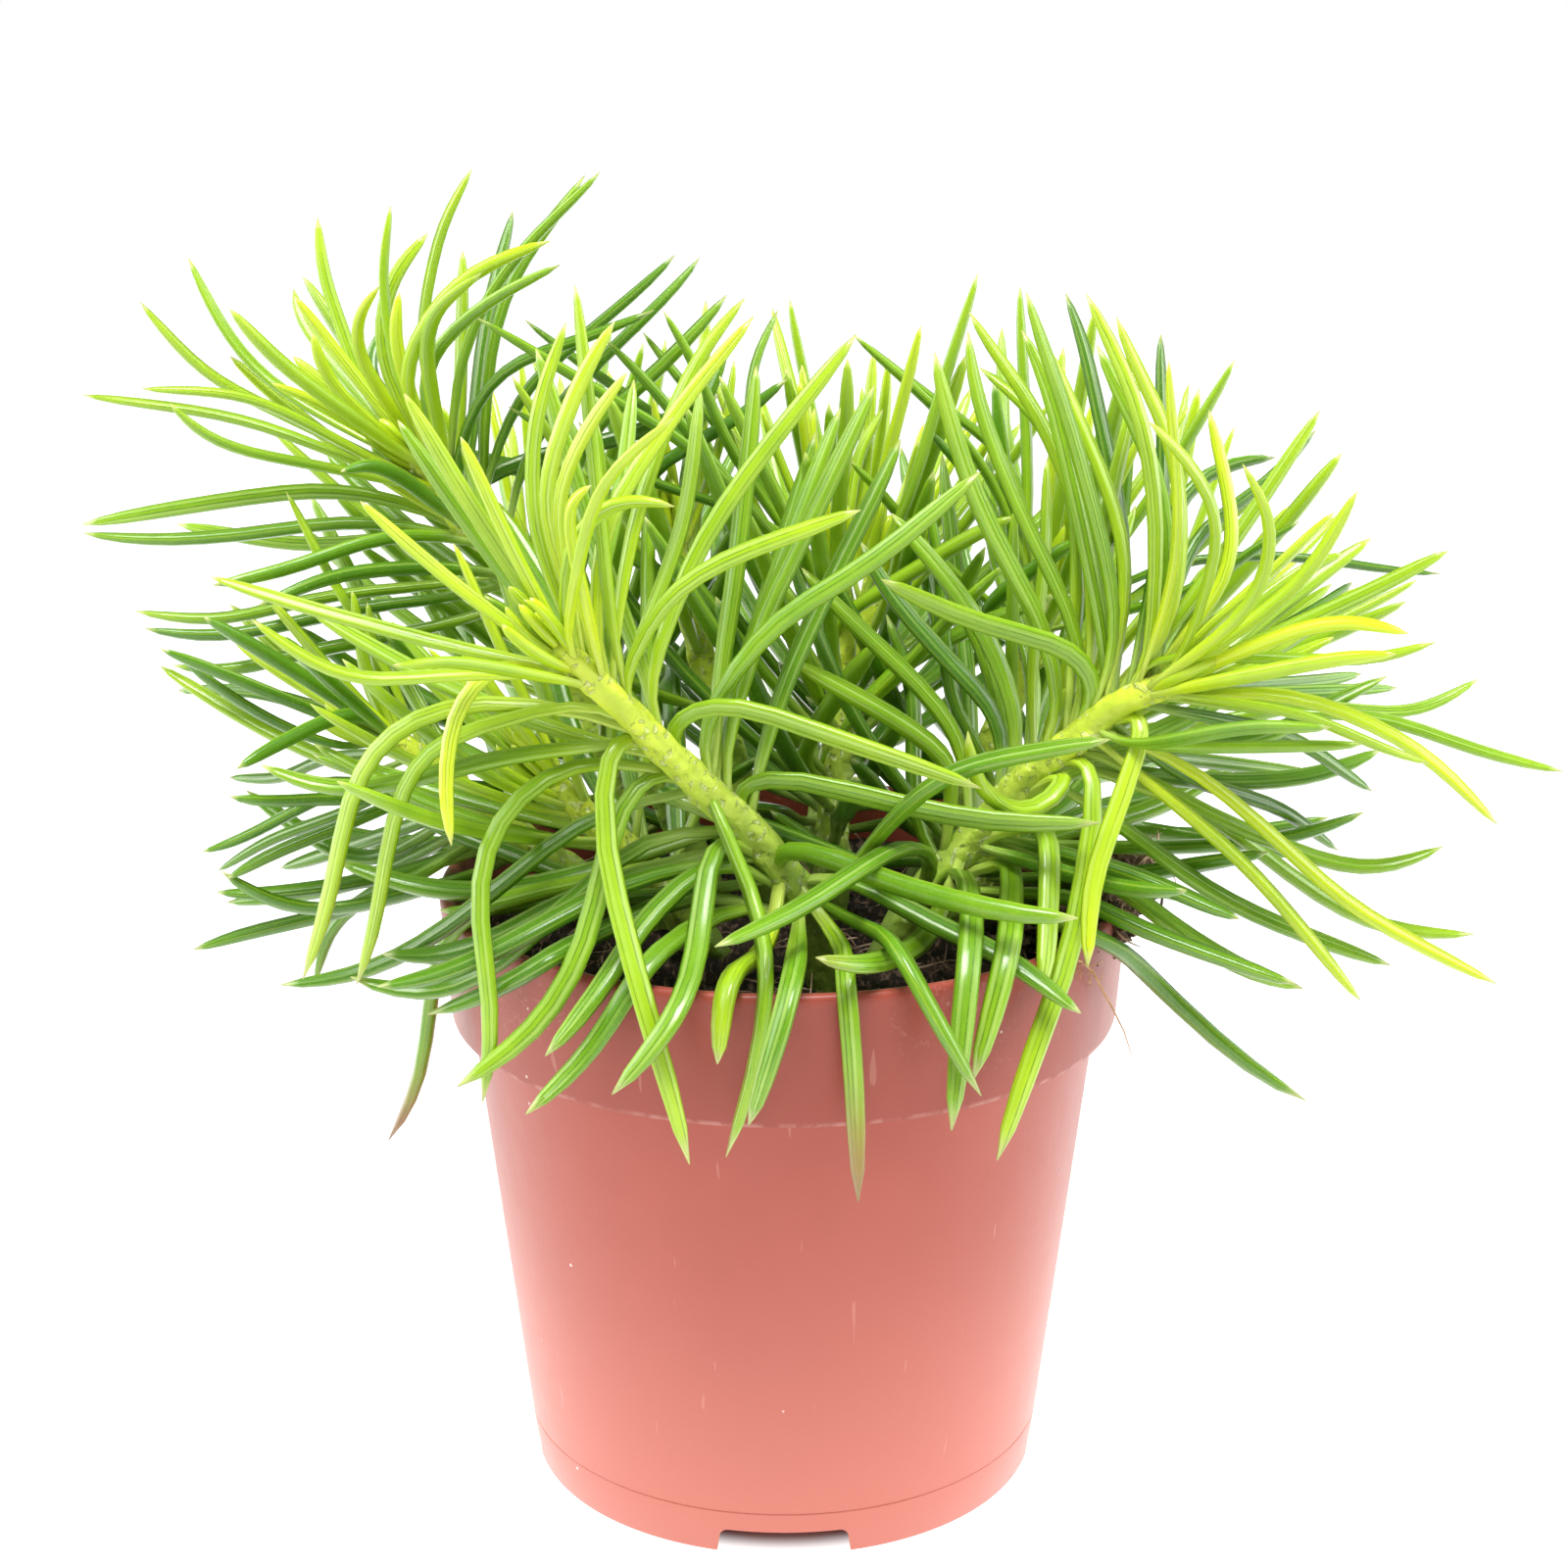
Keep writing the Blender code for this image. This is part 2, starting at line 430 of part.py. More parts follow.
def hidden_leaves(shoot, stem, draw):
    """Leaves in a golden-angle spiral up the stem, short and steep at the tip, long and level below."""
    count, begin, away_only = HIDDEN_LEAVES[shoot]
    leaves = []
    for step in range(count):
        along = begin + (1 - begin) * step / (count - 1)
        at = STEM_AT_SOIL + along * (STEM_POINTS - STEM_AT_SOIL - 2)
        root = stem[int(at)]
        upward = unit(stem[int(at) + 1] - stem[int(at) - 1])
        side = unit(np.cross(upward, (0.0, 1.0, 0.2)))
        turn = GOLDEN_ANGLE * step + 0.25 * draw.uniform(-1, 1)
        outward = math.cos(turn) * side + math.sin(turn) * np.cross(upward, side)
        length = np.interp(along, (0, 0.35, 0.8, 1), (0.044, 0.056, 0.052, 0.026)) * draw.uniform(0.88, 1.12)
        lean = math.radians(np.interp(along, (0, 0.5, 1), (78, 58, 12)) + draw.uniform(-9, 9))
        rise = np.interp(along, (0, 0.3, 1), (-0.25, 0.3, 0.12)) * draw.uniform(0.6, 1.3)
        half_width = leaf_width(along, draw) / 2
        if away_only and outward[1] < 0.3:
            continue
        heading = math.cos(lean) * upward + math.sin(lean) * outward
        bend = np.array((0.0, 0.0, rise))
        points = [root + length * (part * heading + part * part * bend) for part in (0, 0.3, 0.65, 1)]
        path = smooth_path(points, BEADS)
        path[:, 1] -= max(0.0, path[-1, 1] - BACK_REACH) * np.linspace(0, 1, BEADS) ** 2
        leaves.append(Leaf(shoot, path, upward, half_width, False))
    return leaves


def lengths(vectors):
    """The length of each vector."""
    return np.linalg.norm(vectors, axis=-1)


def pot_push(places, radii, climbs):
    """How far beads must move to clear the pot and the soil; where a leaf climbs, over the rim."""
    gap = radii + CONTACT_GAP
    around = lengths(places[:, :2])
    outward = places * (1, 1, 0) / np.maximum(around, 1e-6)[:, None]
    rise = RIM_TOP + gap - places[:, 2]
    wall = np.interp(
        places[:, 2], (0, COLLAR_BOTTOM, RIM_TOP), (FOOT_RADIUS, COLLAR_BOTTOM_RADIUS, RIM_RADIUS))
    out = wall + gap - around
    inward = around - (RIM_RADIUS - 0.005 - gap)
    off_soil = SOIL_LEVEL + SOIL_BUMP / 2 + gap - places[:, 2]
    over_soil = (inward < 0) & (off_soil < 0.012)
    over_rim = climbs & (rise < 0.016) & ~over_soil
    outside = (off_soil > 0) | (out < inward)
    lift = np.where(over_soil, np.maximum(0, off_soil), np.where(over_rim, rise, 0))
    aside = np.where(over_soil | over_rim, 0, np.where(outside, out, -inward))
    push = aside[:, None] * outward
    push[:, 2] += lift
    return np.where(((rise > 0) & (out > 0))[:, None], push, 0)


def lump_push(places, radii):
    """How far beads must move to clear the lump of peat."""
    size = np.array(LUMP_SIZE) + radii[:, None] + 0.0012
    offset = (places - np.array(LUMP_CENTRE)) / size
    inside = lengths(offset)[:, None]
    return np.where(inside < 1, offset / np.maximum(inside, 0.1) * (1 - inside) * size, 0)


def bend_stops(path, first, last, tolerance):
    """The beads between two others where straight runs would leave the path by too much."""
    run = unit(path[last] - path[first])
    offset = path[first:last] - path[first]
    stray = lengths(offset - np.outer(offset @ run, run))
    worst = int(np.argmax(stray))
    if stray[worst] < tolerance:
        return [first]
    return bend_stops(path, first, first + worst, tolerance) + bend_stops(path, first + worst, last, tolerance)


def leaf_stops(leaf):
    """The beads of a leaf's centre line where its solid gets a ring."""
    tolerance = SEEN_TOLERANCE if leaf.seen else HIDDEN_TOLERANCE
    stops = []
    for first, last in ((0, 6), (6, 12), (12, BEADS - 1)):
        stops += bend_stops(leaf.path, first, last, tolerance)
    return stops


def straight_runs(leaf, fine):
    """Places along a leaf's solid, which runs straight from ring to ring."""
    stops = [*leaf_stops(leaf), BEADS - 1]
    return np.stack([np.interp(fine, stops, leaf.path[stops, axis]) for axis in range(3)], axis=1)


def drop_crossing(leaves, stems):
    """The leaves without those hidden ones that lie in another stem, in one of its leaves or in the pot."""
    fine = np.linspace(0, BEADS - 1, 4 * BEADS)
    profile = leaf_profile(fine / (BEADS - 1)) * CROSSING_GAIN
    paths = np.array([straight_runs(leaf, fine) for leaf in leaves])
    stem_radii = stem_radius(np.arange(STEM_POINTS))
    lows, highs = paths.min(axis=1), paths.max(axis=1)
    kept = []
    dropped = set()
    for number, leaf in enumerate(leaves):
        radii = leaf.half_width * profile
        crosses = lengths(pot_push(paths[number], radii, np.zeros(len(fine), bool))).max() > CONTACT_GAP
        for name, stem in stems.items():
            if name != leaf.shoot:
                gaps = lengths(paths[number][:, None] - stem[None, :]) - radii[:, None] - stem_radii
                crosses = crosses or gaps.min() < CLEARANCE
        near = ((lows < highs[number] + 0.005) & (highs > lows[number] - 0.005)).all(axis=1)
        for other in np.nonzero(near)[0]:
            if crosses or leaves[other].shoot == leaf.shoot or other in dropped:
                continue
            gaps = lengths(paths[number][:, None] - paths[other][None, :])
            room = radii[:, None] + leaves[other].half_width * profile[None, :] + CLEARANCE
            crosses = (gaps < room).any()
        if crosses and not leaf.seen:
            dropped.add(number)
        else:
            kept.append(leaf)
    return kept


def near_pairs(places, fixed_places):
    """Pairs of a leaf's bead and another leaf's bead or a stem's point that lie near each other."""
    tree = kdtree.KDTree(len(places) + len(fixed_places))
    for index, place in enumerate([*places, *fixed_places]):
        tree.insert(place, index)
    tree.balance()
    pairs = [
        (bead, other) for bead, place in enumerate(places)
        for _, other, _ in tree.find_range(place, SEARCH_REACH) if bead // BEADS != other // BEADS]
    return np.array(pairs).T


def part_leaves(leaves, stems):
    """Bends leaves apart where they would cross each other, the stems, the pot, the soil or the lump.

    A leaf is a row of beads. Beads that are too near push each other off: leaves set out by eye move
    along the line of sight, so that the front view holds, and the others move freely.
    """
    along = np.linspace(0, 1, BEADS)
    paths = np.array([leaf.path for leaf in leaves])
    spacing = lengths(np.diff(paths, axis=1))[:, :, None]
    rank = np.arange(BEADS)
    carry = np.minimum(1, (rank[:, None] + 0.3) / (rank[None, :] + 0.3)) ** 1.4
    names = list(stems)
    points = range(0, STEM_POINTS, 2)
    fixed_places = np.array([stems[name][point] for name in names for point in points])
    total = len(leaves) * BEADS
    leaf_shoots = np.repeat([names.index(leaf.shoot) for leaf in leaves], BEADS)
    leaf_radii = np.concatenate([leaf.half_width * leaf_profile(along) for leaf in leaves]) * CONTACT_GAIN
    leaf_seen = np.repeat([leaf.seen for leaf in leaves], BEADS)
    leans_out = lengths(paths[:, -1, :2]) > RIM_RADIUS
    shoots = np.concatenate((leaf_shoots, np.repeat(range(len(names)), len(points))))
    radii = np.concatenate((leaf_radii, [stem_radius(point) for _ in names for point in points]))
    seen = np.concatenate((leaf_seen, np.ones(len(fixed_places), bool)))
    ranks = np.concatenate((np.tile(rank, len(leaves)), np.full(len(fixed_places), BEADS)))
    for turn in range(ROUNDS):
        places = paths.reshape(-1, 3)
        if turn % SEARCH_ROUNDS == 0:
            one, other = near_pairs(places, fixed_places)
            is_stem = other >= total
            firm = is_stem | (ranks[other] < ROOT_BEADS)
            same = shoots[one] == shoots[other]
            roots = np.minimum(ranks[one], ranks[other]) < 2 * ROOT_BEADS
            yields = seen[one] & ~seen[other] & ~firm
            acts = (ranks[one] >= ROOT_BEADS) & ~(same & (is_stem | roots)) & ~yields
            one, other = one[acts], other[acts]
            share = np.where(firm[acts] | (seen[one] != seen[other]), 1.0, 0.5)
        away = places[one] - np.concatenate((places, fixed_places))[other]
        distance = np.maximum(lengths(away), 1e-5)
        room = radii[one] + radii[other] + CONTACT_GAP
        lack = np.maximum(room - distance, 0) * share
        push = away / distance[:, None] * lack[:, None]
        if turn < ROUNDS - FREE_ROUNDS:
            sight = places[one] - EYE * MM
            sight /= lengths(sight)[:, None]
            ahead = (away * sight).sum(axis=1)
            needed = np.sqrt(np.maximum(room ** 2 - distance ** 2 + ahead ** 2, 0)) - np.abs(ahead)
            step = np.where(lack > 0, np.copysign(needed * share, ahead), 0)
            push = np.where(seen[one][:, None], step[:, None] * sight, push)
        pushes = np.stack([np.bincount(one, push[:, axis], total) for axis in range(3)], axis=1)
        climbs = np.zeros(paths.shape[:2], bool)
        climbs[:, 1:] = (lengths(paths[:, :-1, :2]) < RIM_RADIUS - 0.001) & leans_out[:, None]
        pushes += pot_push(places, leaf_radii, climbs.ravel()) + lump_push(places, leaf_radii)
        pushes = pushes.reshape(paths.shape)
        pushes[:, :ROOT_BEADS] = 0
        busy = np.maximum(1.0, (lengths(pushes) > 0).sum(axis=1)[:, None, None] ** 0.5)
        paths = paths + 0.7 * np.einsum("ts,nsk->ntk", carry, pushes) / busy
        for bead in range(1, BEADS):
            step = paths[:, bead] - paths[:, bead - 1]
            size = lengths(step)[:, None]
            allowed = np.clip(size, spacing[:, bead - 1] * 0.88, spacing[:, bead - 1] * 1.2)
            paths[:, bead:] += (step / size * allowed - step)[:, None, :]
        paths = np.round(paths, 7)
    for leaf, path in zip(leaves, paths):
        leaf.path = path


def grow():
    """All stems and leaves, bent clear of each other."""
    draw = random.Random(11)
    stems = {name: stem_path(name) for name in STEMS}
    leaves = []
    for name, stem in stems.items():
        for reach, *places in SEEN_LEAVES.get(name, []):
            leaves.append(seen_leaf(name, stem, reach, places, draw))
        leaves += hidden_leaves(name, stem, draw)
    part_leaves(leaves, stems)
    return stems, drop_crossing(leaves, stems)


def link(name, mesh):
    """A new object in the scene's collection."""
    piece = bpy.data.objects.new(name, mesh)
    bpy.context.scene.collection.objects.link(piece)
    return piece


def loft(name, rings, tip=None):
    """A closed solid through rings of points, with a flat start and a flat end or a point."""
    shape = bmesh.new()
    levels = [[shape.verts.new(point) for point in ring] for ring in rings]
    for low, high in zip(levels, levels[1:]):
        for i in range(len(low)):
            j = (i + 1) % len(low)
            shape.faces.new((low[i], low[j], high[j], high[i]))
    shape.faces.new(levels[0][::-1])
    if tip is None:
        shape.faces.new(levels[-1])
    else:
        point = shape.verts.new(tip)
        for i in range(len(levels[-1])):
            shape.faces.new((levels[-1][i], levels[-1][(i + 1) % len(levels[-1])], point))
    bmesh.ops.triangulate(shape, faces=shape.faces)
    bmesh.ops.recalc_face_normals(shape, faces=shape.faces)
    mesh = bpy.data.meshes.new(name)
    shape.to_mesh(mesh)
    shape.free()
    return link(name, mesh)


def ring_points(centre, along, upper, half_width, half_depth, sides, turn=0.0):
    """Points round a centre line; upper is the direction of the leaf's upper face."""
    up = unit(upper - (upper @ along) * along)
    across = np.cross(along, up)
    angles = [turn + 2 * math.pi * i / sides for i in range(sides)]
    return [centre + math.cos(a) * half_width * across + math.sin(a) * half_depth * up for a in angles]


def leaf_solid(leaf):
    """A three-sided leaf, flat above, with as many rings as its bend needs."""
    stops = leaf_stops(leaf)
    stops[0] = 0.3
    upper = leaf.upward
    rings = []
    for stop in stops:
        before = leaf.path[int(stop)]
        after = leaf.path[int(stop) + 1]
        along = unit(after - leaf.path[max(int(stop) - 1, 0)])
        upper = unit(upper - (upper @ along) * along)
        half = leaf.half_width * CORNER_GAIN * leaf_profile(stop / (BEADS - 1))
        centre = before + (after - before) * (stop % 1)
        rings.append(ring_points(centre, along, upper, half, half * LEAF_THICKNESS, LEAF_SIDES, math.pi / 6))
    return loft("leaf", rings, leaf.path[-1])


def stem_solid(stem):
    """A round stem that thins towards its growing tip."""
    rings = []
    for stop in np.linspace(0, len(stem) - 3, STEM_RINGS).astype(int):
        along = unit(stem[min(stop + 1, len(stem) - 1)] - stem[max(stop - 1, 0)])
        half = stem_radius(stop)
        rings.append(ring_points(stem[stop], along, STEM_FRONT, half, half, STEM_SIDES))
    return loft("stem", rings, stem[-1])


def combine(piece, others, operation, solver="EXACT"):
    """Applies a Boolean with a group of objects, which it then removes."""
    group = bpy.data.collections.new("group")
    bpy.context.scene.collection.children.link(group)
    for other in others:
        for home in list(other.users_collection):
            home.objects.unlink(other)
        group.objects.link(other)
    cut = piece.modifiers.new("combine", "BOOLEAN")
    cut.operation = operation
    cut.operand_type = "COLLECTION"
    cut.collection = group
    cut.solver = solver
    bpy.context.view_layer.update()
    result = bpy.data.meshes.new_from_object(piece.evaluated_get(bpy.context.evaluated_depsgraph_get()))
    piece.modifiers.clear()
    piece.data = result
    for other in others:
        bpy.data.objects.remove(other, do_unlink=True)
    bpy.data.collections.remove(group)
    return piece


def keep_main_body(piece):
    """Drops the loose scraps and fills the sealed hollows that a union of many leaves can leave."""
    shape = bmesh.new()
    shape.from_mesh(piece.data)
    waiting = set(shape.verts)
    bodies = []
    while waiting:
        body = {waiting.pop()}
        edge = list(body)
        while edge:
            near = {line.other_vert(vertex) for vertex in edge for line in vertex.link_edges}
            edge = list(near - body)
            body.update(edge)
        waiting -= body
        bodies.append(body)
    bodies.sort(key=len)
    spare = [vertex for body in bodies[:-1] for vertex in body]
    bmesh.ops.delete(shape, geom=spare, context="VERTS")
    bmesh.ops.dissolve_limit(
        shape, angle_limit=math.radians(FLAT_ANGLE), verts=shape.verts, edges=shape.edges,
        use_dissolve_boundaries=False, delimit=set())
    bmesh.ops.triangulate(shape, faces=shape.faces)
    shape.to_mesh(piece.data)
    shape.free()


def turned(name, profile, sides=POT_SIDES):
    """A closed solid turned about the Z axis from (radius, height) points; a radius of 0 is a pole."""
    shape = bmesh.new()
    columns = []
    poles = {}
    for step in range(sides):
        angle = 2 * math.pi * (step + 0.5) / sides
        column = []
        for index, (radius, height) in enumerate(profile):
            if radius == 0:
                if index not in poles:
                    poles[index] = shape.verts.new((0, 0, height))
                column.append(poles[index])
            else:
                column.append(shape.verts.new((radius * math.cos(angle), radius * math.sin(angle), height)))
        columns.append(column)
    pairs = [(i, i + 1) for i in range(len(profile) - 1)]
    if not poles:
        pairs.append((len(profile) - 1, 0))
    for here, there in zip(columns, columns[1:] + columns[:1]):
        for i, j in pairs:
            corners = dict.fromkeys((here[i], here[j], there[j], there[i]))
            shape.faces.new(list(corners))
    bmesh.ops.triangulate(shape, faces=shape.faces)
    bmesh.ops.recalc_face_normals(shape, faces=shape.faces)
    mesh = bpy.data.meshes.new(name)
    shape.to_mesh(mesh)
    shape.free()
    return link(name, mesh)


def make_pot():
    """The pot: a tapered cup with a deep collar, a raised floor with holes and a notched foot."""
    profile = [
        (0, FOOT_HEIGHT),
        (FOOT_RADIUS - FOOT_WALL, FOOT_HEIGHT),
        (FOOT_RADIUS - FOOT_WALL, 0),
        (FOOT_RADIUS, 0),
        (BODY_TOP_RADIUS, COLLAR_BOTTOM + LIP_CHAMFER / 2),
        (COLLAR_BOTTOM_RADIUS, COLLAR_BOTTOM),
        (RIM_RADIUS, RIM_TOP - LIP_CHAMFER),
        (RIM_RADIUS - LIP_WIDTH * 0.3, RIM_TOP),
        (RIM_RADIUS - LIP_WIDTH * 0.7, RIM_TOP),
        (RIM_RADIUS - LIP_WIDTH, RIM_TOP - LIP_CHAMFER),
        (COLLAR_BOTTOM_RADIUS - WALL, COLLAR_BOTTOM + 2.6 * WALL),
        (BODY_TOP_RADIUS - WALL, COLLAR_BOTTOM + 1.2 * WALL),
        (FOOT_RADIUS - WALL, FLOOR_TOP),
        (0, FLOOR_TOP),
    ]
    pot = turned("pot", profile)
    cutters = []
    for turn in range(NOTCHES):
        angle = math.tau * turn / NOTCHES
        across = np.array((math.cos(angle), math.sin(angle), 0.0))
        out = np.array((math.sin(angle), -math.cos(angle), 0.0))
        outlines = []
        near, far = NOTCH_REACH
        for height, width in ((-MM, NOTCH_BOTTOM_WIDTH), (FOOT_HEIGHT, NOTCH_TOP_WIDTH)):
            level = np.array((0.0, 0.0, height))
            outlines.append([
                level + out * reach + across * side * width / 2
                for reach, side in ((near, -1), (far, -1), (far, 1), (near, 1))
            ])
        cutters.append(loft("notch", outlines))
    for turn in range(DRAIN_HOLES):
        angle = math.tau * (turn + 0.5) / DRAIN_HOLES
        place = (DRAIN_CIRCLE_RADIUS * math.cos(angle), DRAIN_CIRCLE_RADIUS * math.sin(angle), FLOOR_TOP)
        bpy.ops.mesh.primitive_cylinder_add(
            vertices=10, radius=DRAIN_HOLE_RADIUS, depth=12 * MM, location=place)
        cutters.append(bpy.context.object)
    return combine(pot, cutters, "DIFFERENCE")


def stem_holes(stems):
    """Cutters for the plain holes in which the stems stand."""
    cutters = []
    for stem in stems.values():
        along = unit(stem[4] - stem[0])
        start = stem[0] - along * 2 * CLEARANCE
        end = stem[STEM_AT_SOIL + 3]
        half = STEM_BASE_RADIUS + 2.5 * CLEARANCE
        rings = [ring_points(place, along, STEM_FRONT, half, half, STEM_SIDES) for place in (start, end)]
        cutters.append(loft("hole", rings))
    return cutters


def make_soil(stems):
    """The peat: it fills the pot to just under the rim, and one lump hangs over the rim."""
    inner = COLLAR_BOTTOM_RADIUS - WALL - CLEARANCE
    profile = [
        (0, FLOOR_TOP + CLEARANCE),
        (FOOT_RADIUS - 2 * WALL, FLOOR_TOP + CLEARANCE),
        (BODY_TOP_RADIUS - WALL - 2 * CLEARANCE, COLLAR_BOTTOM + 1.2 * WALL),
        (inner - CLEARANCE, COLLAR_BOTTOM + 3.6 * WALL),
        (inner, SOIL_LEVEL - 2 * MM),
        *[(inner * part, SOIL_LEVEL) for part in (0.98, 0.7, 0.35, 0)],
    ]
    soil = turned("soil", profile)
    for vertex in soil.data.vertices:
        if vertex.co.z > SOIL_LEVEL - MM:
            vertex.co.z = soil_height(vertex.co.x, vertex.co.y)
    bpy.ops.mesh.primitive_ico_sphere_add(subdivisions=2, radius=1, location=(0, 0, 0))
    lump = bpy.context.object
    for vertex in lump.data.vertices:
        rough = 1.08 - LUMP_DENTS * abs(noise.noise(vertex.co * 2.1))
        vertex.co = Vector(a * b for a, b in zip(vertex.co * rough, LUMP_SIZE)) + LUMP_CENTRE
    rim = RIM_RADIUS + 2 * CLEARANCE
    keep_out = turned("rim", [
        (inner - CLEARANCE, COLLAR_BOTTOM), (rim, COLLAR_BOTTOM), (rim, RIM_TOP + CLEARANCE),
        (inner - CLEARANCE, RIM_TOP + CLEARANCE)])
    combine(lump, [keep_out], "DIFFERENCE")
    keep_main_body(lump)
    combine(soil, [lump], "UNION")
    return combine(soil, stem_holes(stems), "DIFFERENCE")


def paint(piece, colour, roughness):
    """Gives a piece its own plain material."""
    finish = bpy.data.materials.new(piece.name)
    finish.use_nodes = True
    shader = finish.node_tree.nodes["Principled BSDF"]
    shader.inputs["Base Color"].default_value = (*colour, 1)
    shader.inputs["Roughness"].default_value = roughness
    shader.inputs["Metallic"].default_value = 0
    piece.data.materials.clear()
    piece.data.materials.append(finish)
    piece.data.shade_smooth()
    piece.data.set_sharp_from_angle(angle=math.radians(40))


stems, leaves = grow()
paint(make_pot(), (0.79, 0.29, 0.20), 0.42)
paint(make_soil(stems), (0.03, 0.018, 0.012), 0.95)
for name, stem in stems.items():
    shoot = stem_solid(stem)
    shoot.name = name
    # EXACT leaves edges that four faces share where many leaves meet
    combine(shoot, [leaf_solid(leaf) for leaf in leaves if leaf.shoot == name], "UNION", "MANIFOLD")
    keep_main_body(shoot)
    paint(shoot, (0.20, 0.36, 0.045), 0.38)
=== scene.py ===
# Potted senecio: a young succulent with finger-shaped leaves on leaning stems, in its nursery pot.

import math
import random

import bpy
import numpy as np
from mathutils import Matrix, Vector, kdtree, noise


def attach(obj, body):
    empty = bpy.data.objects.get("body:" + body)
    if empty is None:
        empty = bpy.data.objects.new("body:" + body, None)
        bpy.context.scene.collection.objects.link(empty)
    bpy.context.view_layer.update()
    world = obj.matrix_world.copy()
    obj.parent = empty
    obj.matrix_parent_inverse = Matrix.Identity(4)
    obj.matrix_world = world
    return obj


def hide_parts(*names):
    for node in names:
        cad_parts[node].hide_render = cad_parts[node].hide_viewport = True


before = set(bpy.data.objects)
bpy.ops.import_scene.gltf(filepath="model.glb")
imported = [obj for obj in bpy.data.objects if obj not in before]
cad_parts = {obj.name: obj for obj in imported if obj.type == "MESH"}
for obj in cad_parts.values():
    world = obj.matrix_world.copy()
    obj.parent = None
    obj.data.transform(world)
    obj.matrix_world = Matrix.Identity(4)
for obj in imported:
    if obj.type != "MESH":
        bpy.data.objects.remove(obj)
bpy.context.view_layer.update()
bpy.ops.object.select_all(action="DESELECT")

# The pot: one thin moulding of satin plastic the colour of terracotta. It has a deep collar under a
# rounded lip, a raised floor with drain holes, and a foot ring with four notches that let water out.

MM = 0.001
POT_SIDES = 144
FOOT_HEIGHT = 0.0047
COLLAR_BOTTOM = 0.084
RIM_TOP = 0.107
POT_OUTLINE = [
    (42.6, 4.7), (42.6, 0.5), (42.9, 0.05), (43.3, 0), (44.6, 0), (45.0, 0.1), (45.2, 0.5),
    (46.1, 7.9), (46.12, 8.15), (46.0, 8.3), (46.05, 8.45), (46.2, 8.6),
    (54.88, 83.4), (55.1, 83.85), (55.5, 84.0), (57.6, 84.05), (58.15, 84.2), (58.35, 84.7),
    (59.93, 104.9), (60.0, 105.9), (59.8, 106.6), (59.35, 106.95), (58.8, 107), (58.2, 106.85),
    (57.8, 106.4), (57.66, 105.6), (57.0, 88.4), (56.5, 86.6), (54.4, 85.9), (53.6, 85.0),
    (44.5, 7.6), (43.9, 6.6), (43.0, 6.3)]
NOTCH_WIDTH = 0.024
NOTCH_NARROWING = 0.9
NOTCH_NEAR = 0.038
NOTCH_FAR = 0.050
NOTCH_ROUNDING = 0.0013
DRAIN_HOLES = 8
DRAIN_HOLE_RADIUS = 0.0035
DRAIN_HOLE_DEPTH = 0.008
DRAIN_CIRCLE_RADIUS = 0.030
SHARP_EDGE = math.radians(38)
SPECK_SCALE = 170.0


class Shade:
    """A value at a point of a surface. Sums and products of it add Math nodes to its material."""

    def __init__(self, tree, socket=None):
        self.tree = tree
        self.socket = socket

    def node(self, kind, settings, inputs, output=0):
        """Adds one node: its settings first, then the values or links of its sockets."""
        made = self.tree.nodes.new("ShaderNode" + kind)
        for name, value in settings.items():
            if name == "stops":
                stops = made.color_ramp.elements
                stops.remove(stops[1])
                for place, colour in value:
                    stop = stops[0] if place == value[0][0] else stops.new(place)
                    stop.position = place
                    stop.color = (*colour, 1)
            else:
                setattr(made, name, value)
        for name, value in inputs.items():
            socket = made.inputs[name]
            if isinstance(value, Shade):
                self.tree.links.new(value.socket, socket)
            elif isinstance(value, tuple) and socket.type == "RGBA":
                socket.default_value = (*value, 1)
            else:
                socket.default_value = value
        return Shade(self.tree, made.outputs[output])

    def calculate(self, kind, first, second=0.0):
        """One Math node of this kind."""
        return self.node("Math", {"operation": kind}, {0: first, 1: second})

    def __add__(self, other):
        return self.calculate("ADD", self, other)

    def __radd__(self, other):
        return self.calculate("ADD", other, self)

    def __sub__(self, other):
        return self.calculate("SUBTRACT", self, other)

    def __rsub__(self, other):
        return self.calculate("SUBTRACT", other, self)

    def __mul__(self, other):
        return self.calculate("MULTIPLY", self, other)

    def __rmul__(self, other):
        return self.calculate("MULTIPLY", other, self)

    def between(self, low, high):
        """0 below the low value and 1 above the high one, with a soft change between."""
        return self.node(
            "MapRange", {"interpolation_type": "SMOOTHSTEP"}, {"Value": self, "From Min": low, "From Max": high})

    def stripe(self, middle, core, reach):
        """1 within the core of a middle value and 0 beyond its reach, with a soft change between."""
        return 1 - self.calculate("ABSOLUTE", self - middle).between(core, reach)

    def blend(self, first, second):
        """The first colour where this value is 0 and the second where it is 1."""
        return self.node("Mix", {"data_type": "RGBA"}, {0: self, 6: first, 7: second}, 2)

    def grain(self, scale, detail=2.0, rough=0.5):
        """Noise between 0 and 1 at this place."""
        return self.node(
            "TexNoise", {}, {"Vector": self, "Scale": scale, "Detail": detail, "Roughness": rough})

    def part(self, axis):
        """One of the three numbers of this place."""
        return self.node("SeparateXYZ", {}, {"Vector": self}, axis)

    def noted(self, name):
        """The number of this name that each point of a piece keeps."""
        return self.node("Attribute", {"attribute_name": name}, {}, "Fac")

    def ramp(self, *stops):
        """A colour that runs through these stops, each a value and its colour."""
        return self.node("ValToRGB", {"stops": stops}, {"Fac": self})

    def bumps(self, depth):
        """The normal of a surface with this relief, in metres."""
        return self.node("Bump", {}, {"Strength": 1.0, "Distance": depth, "Height": self})


